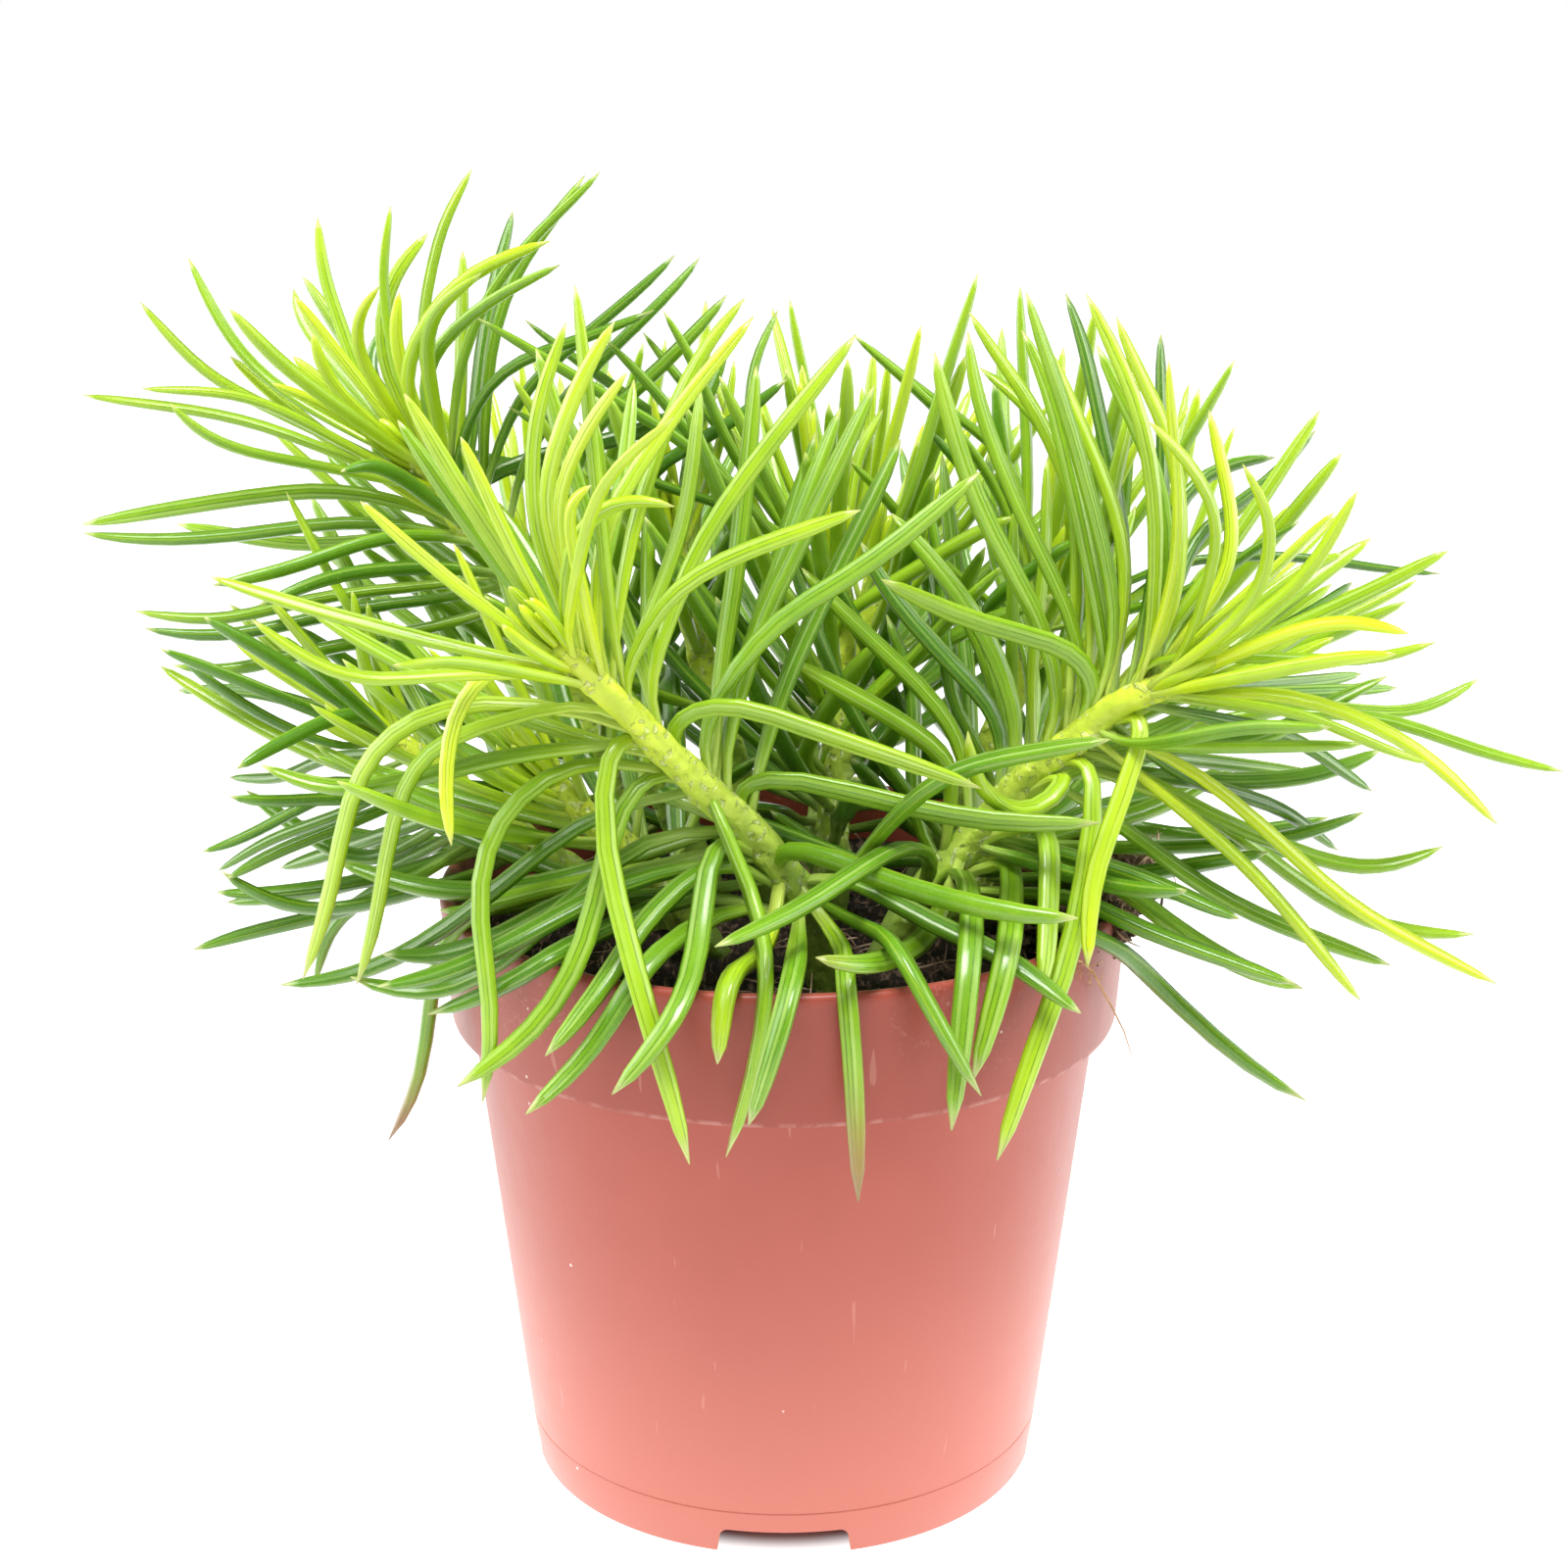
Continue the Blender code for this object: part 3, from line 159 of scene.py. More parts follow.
def finish(name, shader):
    """A new material with these plain shader values, and the place on its surface to build on."""
    made = bpy.data.materials.new(name)
    made.use_nodes = True
    principled = made.node_tree.nodes["Principled BSDF"]
    for socket, value in shader.items():
        principled.inputs[socket].default_value = value
    return made, Shade(made.node_tree).node("TexCoord", {}, {}, "Object")


def feed(material, **values):
    """Links values that change over the surface to the shader: colour, roughness and normal."""
    principled = material.node_tree.nodes["Principled BSDF"]
    for name, value in values.items():
        material.node_tree.links.new(value.socket, principled.inputs[name.replace("_", " ")])


def close_ends():
    """Caps the open end of the mesh in hand, turns its faces outwards and leaves edit mode."""
    bpy.ops.mesh.select_all(action="DESELECT")
    bpy.ops.mesh.select_non_manifold()
    bpy.ops.mesh.edge_face_add()
    bpy.ops.mesh.select_all(action="SELECT")
    bpy.ops.mesh.normals_make_consistent(inside=False)
    bpy.ops.object.mode_set(mode="OBJECT")


def raise_rings(name, outline, sides):
    """A round piece drawn up ring by ring: each step extrudes the last ring and scales it."""
    radius, height = outline[0]
    bpy.ops.mesh.primitive_circle_add(vertices=sides, radius=radius * MM, location=(0, 0, height * MM))
    piece = bpy.context.object
    piece.name = name
    bpy.ops.object.transform_apply(location=True)
    bpy.ops.object.mode_set(mode="EDIT")
    bpy.ops.mesh.select_all(action="SELECT")
    for next_radius, next_height in outline[1:]:
        bpy.ops.mesh.extrude_region_move(
            TRANSFORM_OT_translate={"value": (0, 0, (next_height - height) * MM)})
        scale = next_radius / radius
        bpy.ops.transform.resize(value=(scale, scale, 1), center_override=(0, 0, 0))
        radius, height = next_radius, next_height
    bpy.ops.mesh.edge_face_add()
    close_ends()
    return piece


def join(pieces):
    """Joins pieces into the first one."""
    bpy.ops.object.select_all(action="DESELECT")
    for piece in pieces:
        piece.select_set(True)
    bpy.context.view_layer.objects.active = pieces[0]
    bpy.ops.object.join()
    return pieces[0]


def copy_of(piece):
    """A copy with its own mesh."""
    twin = piece.copy()
    twin.data = piece.data.copy()
    bpy.context.scene.collection.objects.link(twin)
    return twin


def paint(piece, material):
    """Gives the piece this material alone."""
    piece.data.materials.clear()
    piece.data.materials.append(material)


def show_as(piece, node):
    """The piece rides on the body and, where it stands for a CAD node, takes the node's place."""
    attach(piece, "root")
    if node:
        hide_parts(node)


pot = raise_rings("nursery_pot", POT_OUTLINE, POT_SIDES)

bpy.ops.mesh.primitive_cube_add(
    size=1, location=(0, (NOTCH_FAR + NOTCH_NEAR) / -2, 0),
    scale=(NOTCH_WIDTH, NOTCH_FAR - NOTCH_NEAR, 2 * FOOT_HEIGHT))
notch = bpy.context.object
bpy.ops.object.transform_apply(location=True, scale=True)
for vertex in notch.data.vertices:
    if vertex.co.z > 0:
        vertex.co.x *= NOTCH_NARROWING
bpy.context.tool_settings.mesh_select_mode = (False, True, False)
bpy.ops.object.mode_set(mode="EDIT")
bpy.ops.mesh.select_all(action="DESELECT")
bpy.ops.object.mode_set(mode="OBJECT")
for edge in notch.data.edges:
    ends = [notch.data.vertices[end].co for end in edge.vertices]
    edge.select = all(end.z > 0 for end in ends) and ends[0].x * ends[1].x > 0
bpy.ops.object.mode_set(mode="EDIT")
bpy.ops.mesh.bevel(offset=NOTCH_ROUNDING, segments=5)
bpy.ops.object.mode_set(mode="OBJECT")
bpy.context.tool_settings.mesh_select_mode = (True, False, False)

cutters = [notch]
for quarter in range(1, 4):
    cutter = copy_of(notch)
    cutter.data.transform(Matrix.Rotation(quarter * math.pi / 2, 4, "Z"))
    cutters.append(cutter)
for step in range(DRAIN_HOLES):
    angle = math.tau * (step + 0.5) / DRAIN_HOLES
    spot = (DRAIN_CIRCLE_RADIUS * math.cos(angle), DRAIN_CIRCLE_RADIUS * math.sin(angle), FOOT_HEIGHT)
    bpy.ops.mesh.primitive_cylinder_add(
        vertices=32, radius=DRAIN_HOLE_RADIUS, depth=DRAIN_HOLE_DEPTH, location=spot)
    bpy.ops.object.transform_apply(location=True)
    cutters.append(bpy.context.object)
cutter = join(cutters)
bpy.context.view_layer.objects.active = pot
cut = pot.modifiers.new("openings", "BOOLEAN")
cut.operation = "DIFFERENCE"
cut.object = cutter
bpy.ops.object.modifier_apply(modifier=cut.name)
bpy.data.objects.remove(cutter)
bpy.ops.object.select_all(action="DESELECT")
pot.select_set(True)
bpy.ops.object.shade_smooth_by_angle(angle=SHARP_EDGE)

# satin plastic: paler towards the foot as painted light from the floor's bounce, with a slight mottle, pale
# lime specks, dust below the lip and fine scuffs
plastic, place = finish("terracotta_plastic", {"IOR": 1.45, "Sheen Weight": 0.3, "Sheen Roughness": 0.35})
height = place.part(2)
mottle = place.grain(28, 3)
# painted light: the wall is paler towards the foot and darker up under the collar, as the floor's bounce lights
# it
colour = height.between(0.0, 0.082).blend((0.525, 0.150, 0.108), (0.375, 0.066, 0.040))
colour = (mottle.between(0.3, 0.7) * 0.2).blend(colour, (0.52, 0.13, 0.09))
# painted shade: the collar is darker than the thin wall below it, where the leaves shade it
colour = (height.between(0.0836, 0.0842) * 0.75).blend(colour, (0.310, 0.055, 0.035))
dust = place.grain(900, 4, 0.7).between(0.52, 0.72) * height.between(0.086, 0.104) * mottle.between(0.4, 0.6)
colour = (dust * 0.35).blend(colour, (0.80, 0.52, 0.44))
spots = 1 - place.node("TexVoronoi", {}, {"Vector": place, "Scale": SPECK_SCALE}, 0).between(0.035, 0.065)
chance = place.node("TexVoronoi", {}, {"Vector": place, "Scale": SPECK_SCALE}, 1).part(0)
specks = spots * chance.between(0.78, 0.81)
colour = (specks * 0.7).blend(colour, (0.88, 0.76, 0.68))
dark_specks = spots * (1 - chance.between(0.04, 0.06))
colour = (dark_specks * 0.8).blend(colour, (0.10, 0.05, 0.035))
leaning = place.node("Mapping", {}, {"Vector": place, "Rotation": (0.5, 0.35, 0), "Scale": (1, 1, 0.09)})
scuffs = leaning.grain(650, 1).between(0.755, 0.78)
colour = (scuffs * 0.16).blend(colour, (0.80, 0.45, 0.36))
# painted highlight: a broken pale line along the collar's rounded lower edge, where it catches the light
edge_highlight = height.stripe(COLLAR_BOTTOM + 0.0004, 0.0002, 0.0008) * place.grain(260, 4).between(0.38, 0.62)
colour = (edge_highlight * 0.26).blend(colour, (0.84, 0.50, 0.42))
rough = 0.36 + 0.1 * place.grain(240, 3) + 0.12 * dust
relief = place.grain(1400, 2) + 0.4 * scuffs + 2.0 * specks
feed(plastic, Base_Color=colour, Roughness=rough, Normal=relief.bumps(0.00003))
paint(pot, plastic)
show_as(pot, "pot")

# The soil: dark fibrous peat that fills the pot to just under its lip. It is heaped at the right, where
# two clumps have slipped over the rim.

SOIL_LEVEL = 0.0975
SOIL_BUMP = 0.0011
SOIL_GRAIN = 130
CRUMBLE = 0.0009
CRUMBLE_GRAIN = 420
RIM_RADIUS = 0.060
SOIL_SIDES = 160
SOIL_OUTLINE = [(42.6, 6.7), (53.0, 85.2), (56.2, 88.8), (56.5, 96.0), (56.2, 97.2)]
LUMP_CENTRE = Vector((0.055, 0.002, 0.104))
LUMP_SIZE = Vector((0.0115, 0.0105, 0.0075))


def soil_height(x, y):
    """Height of the soil's rough surface."""
    return SOIL_LEVEL + SOIL_BUMP * noise.noise(Vector((x * SOIL_GRAIN, y * SOIL_GRAIN, 0.5)))


rings = [(radius, 97.5) for radius in np.arange(55.2, 0.5, -1.3)]
peat_body = raise_rings("peat", SOIL_OUTLINE + rings, SOIL_SIDES)
for vertex in peat_body.data.vertices:
    x, y, z = vertex.co
    if z > SOIL_LEVEL - 0.4 * MM:
        edge = np.interp(math.hypot(x, y), (0.048, 0.0562), (1, 0.3))
        crumble = noise.fractal(Vector((x, y, 0.1)) * CRUMBLE_GRAIN, 0.8, 2.1, 5)
        vertex.co.z = soil_height(x, y) + CRUMBLE * crumble * edge - 0.5 * MM

# the two clumps on the rim and the heap behind them: the middle and the half sizes of each
LUMPS = [
    ((0.0590, 0.003, 0.1060), (0.0080, 0.0098, 0.0056)),
    ((0.0542, -0.0175, 0.1052), (0.0052, 0.0072, 0.0040)),
    ((0.0480, -0.0050, 0.0990), (0.0100, 0.0120, 0.0040))]
clumps = []
for number, (centre, size) in enumerate(LUMPS):
    bpy.ops.mesh.primitive_ico_sphere_add(subdivisions=6, radius=1)
    clump = bpy.context.object
    for vertex in clump.data.vertices:
        way = vertex.co.copy()
        dents = noise.fractal(way * 1.6 + Vector((number * 7, 0, 0)), 0.7, 2.2, 6)
        strands = abs(noise.noise(Vector((way.x * 9, way.y * 4, way.z * 14))))
        swell = 1.0 + 0.30 * dents - 0.20 * strands
        vertex.co = Vector(a * b * swell for a, b in zip(way, size)) + Vector(centre)
    clumps.append(clump)
peat_body = join([peat_body, *clumps])
peat_body.name = "peat"
bpy.ops.object.shade_smooth()

# peat: near black when damp, with brown fibres and paler dry crumbs on what stands up
peat, place = finish("peat", {"IOR": 1.4})
height = place.part(2)
twisted = place.node("Mapping", {}, {"Vector": place, "Rotation": (0.4, 0.2, 0.7), "Scale": (1, 0.22, 1)})
fibres = twisted.grain(900, 3, 0.6).between(0.5, 0.68)
crumbs = place.grain(520, 4, 0.7).between(0.42, 0.66)
dry = height.between(0.0985, 0.1045)
colour = crumbs.blend((0.010, 0.006, 0.004), (0.050, 0.028, 0.018))
colour = (dry * (0.35 + 0.5 * crumbs)).blend(colour, (0.25, 0.148, 0.100))
colour = (fibres * (0.45 + 0.4 * dry)).blend(colour, (0.44, 0.285, 0.20))
relief = place.grain(700, 5, 0.7) + 0.6 * fibres
feed(peat, Base_Color=colour, Roughness=0.8 + 0.15 * crumbs, Normal=relief.bumps(0.0007))
paint(peat_body, peat)
show_as(peat_body, "soil")

# The leafy stems: twelve soft green stems that lean out of the soil, each with finger-shaped leaves in a
# spiral. The leaves are yellow-green and upright at the growing tip, and darker and longer below.

CLEARANCE = 0.0003
COLLAR_BOTTOM_RADIUS = 0.0583
FOOT_RADIUS = 0.0452
STEM_BASE_RADIUS = 0.0031
STEM_TIP_RADIUS = 0.0019
STEM_ROOT_DEPTH = 0.013
STEM_POINTS = 60
STEM_AT_SOIL = 12
LEAF_WIDTH = ((0, 0.3, 0.6, 0.85, 1), (0.0040, 0.0039, 0.0034, 0.0027, 0.0022))
LEAF_PROFILE = ((0, 0.12, 0.35, 0.6, 0.8, 0.92, 1), (0.5, 0.6, 0.9, 1, 0.86, 0.52, 0.06))
HIDDEN_LENGTH = ((0, 0.35, 0.8, 1), (0.044, 0.056, 0.052, 0.026))
HIDDEN_LEAN = ((0, 0.5, 1), (78, 58, 12))
HIDDEN_RISE = ((0, 0.3, 1), (-0.25, 0.3, 0.12))
CONTACT_GAIN = 1.2
CROSSING_GAIN = 1.05
CONTACT_GAP = 0.0009
LUMP_GAP = 0.0012
LIP_WIDTH = 0.005
RIM_REACH = 0.016
SOIL_REACH = 0.012
PUSH_SHARE = 0.7
SHORTEST_STEP = 0.88
LONGEST_STEP = 1.2
SEEN_TOLERANCE = 0.0012
HIDDEN_TOLERANCE = 0.0016
BEADS = 16
GOLDEN_ANGLE = math.radians(137.5)
BACK_REACH = 0.082
ROUNDS = 120
FREE_ROUNDS = 70
SEARCH_ROUNDS = 4
SEARCH_REACH = 0.0095
ROOT_BEADS = 2

# The leaves that show from the front are set out as seen from this eye: (x, z) in millimetres in the
# upright plane through the pot's axis, and the depth behind that plane.
EYE = np.array((0.0, -490.0, 268.0))

# Each stem from the soil to its growing tip, as (x, z, depth)
STEMS = {
    "shoot_front_left": [
        (7, 88, -28), (4, 101, -30), (-3, 112, -33), (-15, 124, -39), (-25, 134.5, -45), (-35, 144.5, -51),
        (-39.5, 149.5, -53)],
    "shoot_left": [
        (-12, 102, 12), (-22, 125, 12), (-34, 146, 11), (-45, 162, 10), (-54, 169, 9), (-57, 176, 8),
        (-63, 181.5, 8)],
    "shoot_right": [
        (18, 92.5, -15), (24, 103, -16), (34, 115, -19), (42.5, 125.5, -23), (50, 131.5, -26),
        (57, 137.5, -29), (68.5, 143, -33)],
    "shoot_low_left": [(-24, 98.5, 2), (-38, 108, 0), (-52, 119, -3), (-61, 127, -5), (-69.5, 133.5, -6)],
    "shoot_centre": [(-3, 103.5, 16), (-9, 128, 17), (-15, 150, 18), (-19, 168, 19)],
    "shoot_middle": [(8, 101, 9), (9, 125, 12), (10, 146, 15), (9, 163, 17)],
    "shoot_back_right": [(24, 106, 24), (33, 125, 26), (41, 144, 28), (46, 160, 29)],
    "shoot_back_left": [(-24, 108, 30), (-31, 128, 35), (-39, 148, 39), (-45, 164, 42)],
    "shoot_back": [(6, 111, 38), (9, 130, 41), (13, 149, 44), (16, 163, 46)],
    "shoot_far_right": [(34, 105, 20), (44, 123, 28), (57, 139, 36), (68, 151, 41)],
    "shoot_low_front": [(-16, 97, -14), (-23, 107, -17), (-32, 116, -19), (-40, 124, -20)],
    "shoot_low_right": [(30, 100, 1), (36, 111, 0), (42, 122, -1), (46, 131, -2)],
}

# The leaves that show, by stem: the depth that the tip gains from the root, then the places along the
# leaf, from the root or the first place that shows to the tip, as (x, z).
SEEN_LEAVES = {
    "shoot_front_left": [
        (0, (-59, 149), (-69.5, 152), (-82, 155.5), (-97.5, 160.5)),
        (-28, (-56, 146), (-67, 145)),
        (-10, (-60, 143.5), (-67, 142.5), (-75, 143), (-82, 146.5), (-90.5, 153)),
        (-10, (-47.5, 146), (-52, 143), (-57, 136.5), (-59, 122), (-58, 112.5)),
        (6, (-34, 137), (-51, 139), (-59, 138), (-67, 135), (-73, 129), (-76, 121), (-80, 102), (-85, 88)),
        (4, (-34, 139.5), (-48.5, 135), (-59.5, 132.5), (-64, 129), (-69.5, 113), (-71.5, 99), (-75.5, 87)),
        (5, (-28, 131), (-48, 128.5), (-58, 126), (-78, 122), (-91, 126.5)),
        (-12, (-27, 129), (-40, 127.5), (-46.5, 122.5), (-51, 117), (-54, 109), (-54, 100), (-53, 91.5),
         (-51.5, 80.5), (-54, 65.5)),
        (-19, (-28.5, 136), (-31.5, 122.5), (-31, 109), (-28, 96), (-24.5, 80.5), (-20.5, 66.5), (-17, 51)),
        (-20, (-22, 128), (-29, 115.5), (-31, 104), (-33, 91.5), (-40.5, 75.5), (-56, 63.5)),
        (-26, (-16, 124.5), (-9.5, 110), (-4.5, 91.5), (-3.5, 78.5), (-5, 63.5), (-10.5, 45)),
        (-10, (-22, 132.5), (-14.5, 138.5), (-7.5, 138), (3, 134), (34, 123)),
        (-8, (-11, 121.5), (-7.5, 124), (0.5, 124), (17, 118.5), (37, 114.5), (55.5, 114.5)),
        (-22, (-3.5, 112.5), (6.5, 112), (17, 107), (30.5, 101.5), (41, 98.5), (51, 98)),
        (12, (-24, 124), (-5, 118), (18, 108)),
        (-31, (-11.5, 112), (-15, 83), (-18, 68), (-30, 52.5)),
        (-34, (-10, 107), (-21.5, 92.5), (-29, 75.5), (-41, 59.5)),
        (-35, (-8, 98), (-26.5, 71), (-34, 57.5), (-46.5, 44.5)),
        (-34, (-3, 92), (-10.5, 81.5), (-12, 65.5)),
        (-35, (2.5, 99), (-1, 76), (-8, 51)),
        (-34, (0, 104), (10.5, 89), (17.5, 69.5), (31, 43.5)),
        (-36, (8, 92), (9.5, 73), (11, 55), (12, 30.5)),
        (-24, (11.5, 105), (31, 87.5), (52, 69.5)),
        (0, (-41.5, 165.5), (-42.5, 176), (-41.5, 189), (-36, 204)),
        (-8, (-40.5, 171), (-38, 184), (-33.5, 195.5), (-28, 204)),
        (-15, (-38.5, 171), (-35.5, 181.5), (-31, 189.5), (-26, 195.5)),
        (-12, (-37, 171), (-32.5, 176)),
        (-15, (-36, 145.5), (-37, 157.5), (-36, 165.5), (-32.5, 171), (-26.5, 174), (-18.5, 172.5)),
        (-25, (-37.5, 149), (-32.5, 173.5), (-26.5, 182), (-18.5, 188)),
        (6, (-32, 145.5), (-32, 160), (-30, 171), (-21.5, 183.5), (-17, 190.5), (-11, 197.5), (-5, 204.5)),
        (16, (-29.5, 145.5), (-27.5, 160), (-24.5, 173.5), (-17, 193), (-12.5, 201), (-6.5, 207.5)),
        (26, (-34, 147), (-27, 178), (-26, 187), (-25, 194)),
        (24, (-27, 143.5), (-18.5, 165.5), (-16, 176), (-14, 193)),
        (-16, (-29, 141), (-25, 147.5), (-22.5, 154), (-17, 159.5), (-9, 164), (2, 168), (13, 172)),
        (0, (-24.5, 139), (-21, 149), (-16, 163), (-9, 174.5), (2, 189), (12, 201.5)),
        (-6, (-15.5, 131), (-7.5, 146), (0.5, 154.5), (13.5, 162), (26.5, 173), (33, 178.5)),
        (6, (-11, 127), (-4.5, 152), (2, 165.5), (9, 180.5), (15, 193)),
        (16, (-12, 130), (3.5, 174), (9.5, 189.5)),
        (12, (-5, 125), (0.5, 143.5), (10.5, 165.5), (15, 174.5), (19.5, 184)),
        (10, (-34, 118), (-52, 103), (-66, 92.5), (-76.5, 88), (-88.5, 86.5)),
        (-12, (-25, 106), (-42, 95), (-51.5, 89.5), (-61.5, 85), (-70.5, 83.5)),
        (-4, (-22, 108), (-40.5, 99), (-48.5, 92.5), (-61, 88.5), (-70, 89)),
        (-8, (-24, 112), (-35, 96.5), (-45.5, 84.5), (-52.5, 78), (-61, 75.5), (-68, 76), (-74, 79)),
        (-14, (-16, 100), (-30.5, 86.5), (-40.5, 76.5), (-49.5, 70.5), (-61.5, 66)),
        (12, (-22, 111), (-35, 104), (-50, 98.5), (-62, 97), (-79, 102.5)),
        (-20, (28, 127), (44.5, 132), (52.5, 134), (59, 134.5)),
        (14, (-50, 99), (-59, 96), (-63.5, 78.5), (-65, 62), (-71, 52.5)),
        (-4, (-44, 88), (-54.5, 82), (-61, 82.5)),
    ],
    "shoot_left": [
        (0, (-81.5, 184.5), (-94.5, 188.5), (-117, 191.5)),
        (-15, (-81.5, 188), (-91.5, 192), (-107, 192.5)),
        (-10, (-92.5, 193), (-97.5, 196.5), (-106.5, 207)),
        (10, (-84, 192.5), (-92.5, 202), (-98, 214)),
        (-24, (-73, 188.5), (-84, 197), (-91.5, 205.5)),
        (26, (-79.5, 203), (-81, 209)),
        (-14, (-72.5, 190.5), (-77, 197), (-78, 202)),
        (14, (-69.5, 191.5), (-73, 202), (-76, 211), (-76.5, 220.5)),
        (-18, (-70.5, 198), (-71.5, 202), (-70.5, 207), (-67, 210.5)),
        (4, (-63.5, 190.5), (-66, 202), (-66.5, 213), (-64.5, 222.5)),
        (24, (-67.5, 191.5), (-69, 198), (-65, 204)),
        (12, (-66, 195), (-66.5, 205), (-64, 212), (-58.5, 218)),
        (-2, (-60.5, 200), (-58.5, 211), (-56.5, 219.5), (-51, 228.5)),
        (20, (-51.5, 191.5), (-50, 202), (-47, 213.5), (-44.5, 221.5)),
        (-6, (-55.5, 189.5), (-52.5, 202), (-44, 215), (-30, 228)),
        (6, (-51, 172), (-47.5, 206), (-32.5, 227.5)),
        (-18, (-64, 192.5), (-61, 201), (-55.5, 209), (-46.5, 214), (-39, 216.5)),
        (-26, (-59.5, 202), (-50, 211.5)),
        (-28, (-60.5, 193.5), (-56, 201.5), (-47, 208.5), (-37, 213)),
        (-8, (-64, 198), (-63.5, 208.5)),
        (-12, (-76, 189.5), (-85.5, 193.5)),
        (-25, (-78.5, 180), (-89.5, 182), (-97.5, 185), (-102.5, 190)),
        (-37, (-56, 171), (-63.5, 177), (-70, 180), (-74.5, 178.5)),
        (12, (-58.5, 171.5), (-71.5, 175), (-79.5, 175.5), (-98, 173), (-118.5, 169.5)),
        (-6, (-57, 168.5), (-74.5, 170.5), (-87.5, 168.5), (-106, 167), (-118.5, 168)),
        (20, (-57, 168.5), (-80, 166), (-102.5, 169.5)),
        (-25, (-60, 168), (-72, 166.5), (-82.5, 162.5), (-97, 159)),
        (-28, (-59, 162.5), (-77, 161), (-89.5, 155.5)),
        (-8, (-56, 159.5), (-69.5, 158.5), (-83, 156.5), (-96, 153), (-110.5, 154.5)),
        (-15, (-56, 157), (-70, 156), (-95, 150.5), (-109, 151.5)),
        (15, (-56, 174), (-40, 181.5), (-27, 184), (-10.5, 191.5)),
        (-10, (-56, 176), (-52, 190), (-46, 197), (-35, 200.5), (-21.5, 205.5)),
        (5, (-50, 178), (-44, 192), (-34, 201), (-26, 207.5), (-18, 214.5)),
        (16, (-45, 178), (-38, 190), (-26, 202), (-19, 208.5), (-14, 214)),
        (-14, (-60, 152), (-85.5, 147), (-94, 144), (-104.5, 145)),
        (8, (-35, 182.5), (-26.5, 191), (-19, 198), (-9.5, 208)),
        (22, (-30, 175), (-50, 180), (-61.5, 184)),
    ],
    "shoot_right": [
        (15, (52, 165), (41, 191.5), (35.5, 197.5), (30.5, 205.5)),
        (24, (50, 170), (43, 188), (32.5, 196)),
        (-5, (57, 147.5), (55.5, 161.5), (51.5, 175), (47.5, 188.5), (43, 200), (40, 208.5)),
        (10, (56, 142), (45, 190), (39.5, 202)),
        (20, (58, 165), (44.5, 198.5)),
        (25, (58, 165), (52, 191.5), (50, 201), (46.5, 208.5)),
        (2, (62, 142), (63, 170), (59, 190), (50, 208)),
        (-10, (66.5, 153), (67.5, 169.5), (65, 184.5), (58.5, 196.5), (55, 204.5)),
        (12, (63, 142), (65, 164), (63.5, 175), (60, 184.5), (56, 191.5), (52, 199.5)),
        (24, (64, 170), (62.5, 201.5)),
        (-12, (67, 165), (64, 197)),
        (10, (74.5, 158.5), (76, 169.5), (73, 182.5), (71, 189)),
        (-20, (68, 145), (74, 167), (71.5, 175), (67, 182), (61, 187)),
        (-24, (79, 154.5), (82.5, 169.5), (77, 179.5)),
        (24, (66, 172), (75, 180), (82.5, 181)),
        (30, (69, 166), (75.5, 172), (82, 177), (89, 185.5)),
        (-12, (54, 137), (51.5, 146.5), (44.5, 149.5), (34, 152), (25.5, 155.5), (16.5, 160)),
        (12, (38, 134), (32.5, 141.5), (24.5, 150), (17.5, 158.5), (13, 166.5)),
        (-4, (48, 134.5), (44.5, 152), (38.5, 162), (32, 175), (27.5, 188.5), (25, 198.5)),
        (8, (52.5, 137), (49, 154.5), (43, 165.5), (36.5, 180), (32, 191.5), (30.5, 202)),
        (-22, (49.5, 126.5), (47, 120), (41, 117), (34.5, 122), (32, 132)),
        (-20, (82, 154), (89.5, 161.5), (94, 169.5), (96.5, 175)),
        (-8, (96.5, 156.5), (106, 161.5), (112.5, 165)),
        (-28, (83, 149.5), (92.5, 152.5), (99.5, 152.5), (106.5, 150.5)),
        (6, (76, 153), (84.5, 162.5)),
        (-10, (83.5, 140.5), (95, 137.5), (107, 132), (115.5, 125.5), (124, 116.5)),
        (-24, (66.5, 139.5), (88, 137), (100, 132), (111.5, 127.5)),
        (-8, (65, 138), (80, 137.5), (103.5, 136), (115, 131.5), (126.5, 128), (135, 126)),
        (4, (58, 128), (75, 118), (99, 108.5), (108, 109.5), (114.5, 112.5)),
        (16, (75, 140), (106, 136.5), (113, 138.5), (119, 142.5)),
        (-16, (62, 146), (97, 145.5), (105.5, 146.5), (111.5, 149)),
        (-28, (93, 146), (104.5, 147)),
        (28, (90, 142), (99, 143.5)),
        (22, (94, 140.5), (105, 141)),
        (26, (75, 145), (86, 152), (92, 155.5), (96.5, 159.5)),
        (10, (88, 161.5), (95, 164.5)),
        (18, (86, 133), (97, 126), (102, 122.5)),
        (20, (60, 128), (90, 124), (98, 122.5)),
        (18, (52, 128), (76, 125.5), (90, 126), (97.5, 128), (103.5, 131)),
        (-20, (60, 131), (100, 131)),
        (-30, (60, 131), (80, 134.5), (94, 134)),
        (26, (68, 126), (84, 121), (89.5, 117.5), (95.5, 112.5)),
        (-10, (62, 131), (71.5, 126.5), (81.5, 118), (90.5, 110), (99.5, 101.5), (126, 87)),
        (4, (60.5, 124), (73, 120), (84.5, 111), (96.5, 102), (108, 97), (121.5, 96.5)),
        (-10, (57.5, 117.5), (78, 102.5), (107, 90.5)),
        (-20, (57.5, 107), (63, 102), (71.5, 96), (82, 89.5), (92, 86)),
        (-26, (48.5, 97), (58, 89.5), (68.5, 85), (79, 81), (90, 76.5)),
        (-14, (55, 97.5), (61.5, 93), (72, 82.5), (83, 72.5), (93, 66)),
        (-8, (78, 112), (90, 99), (102, 84)),
        (-30, (57, 106), (70, 104.5)),
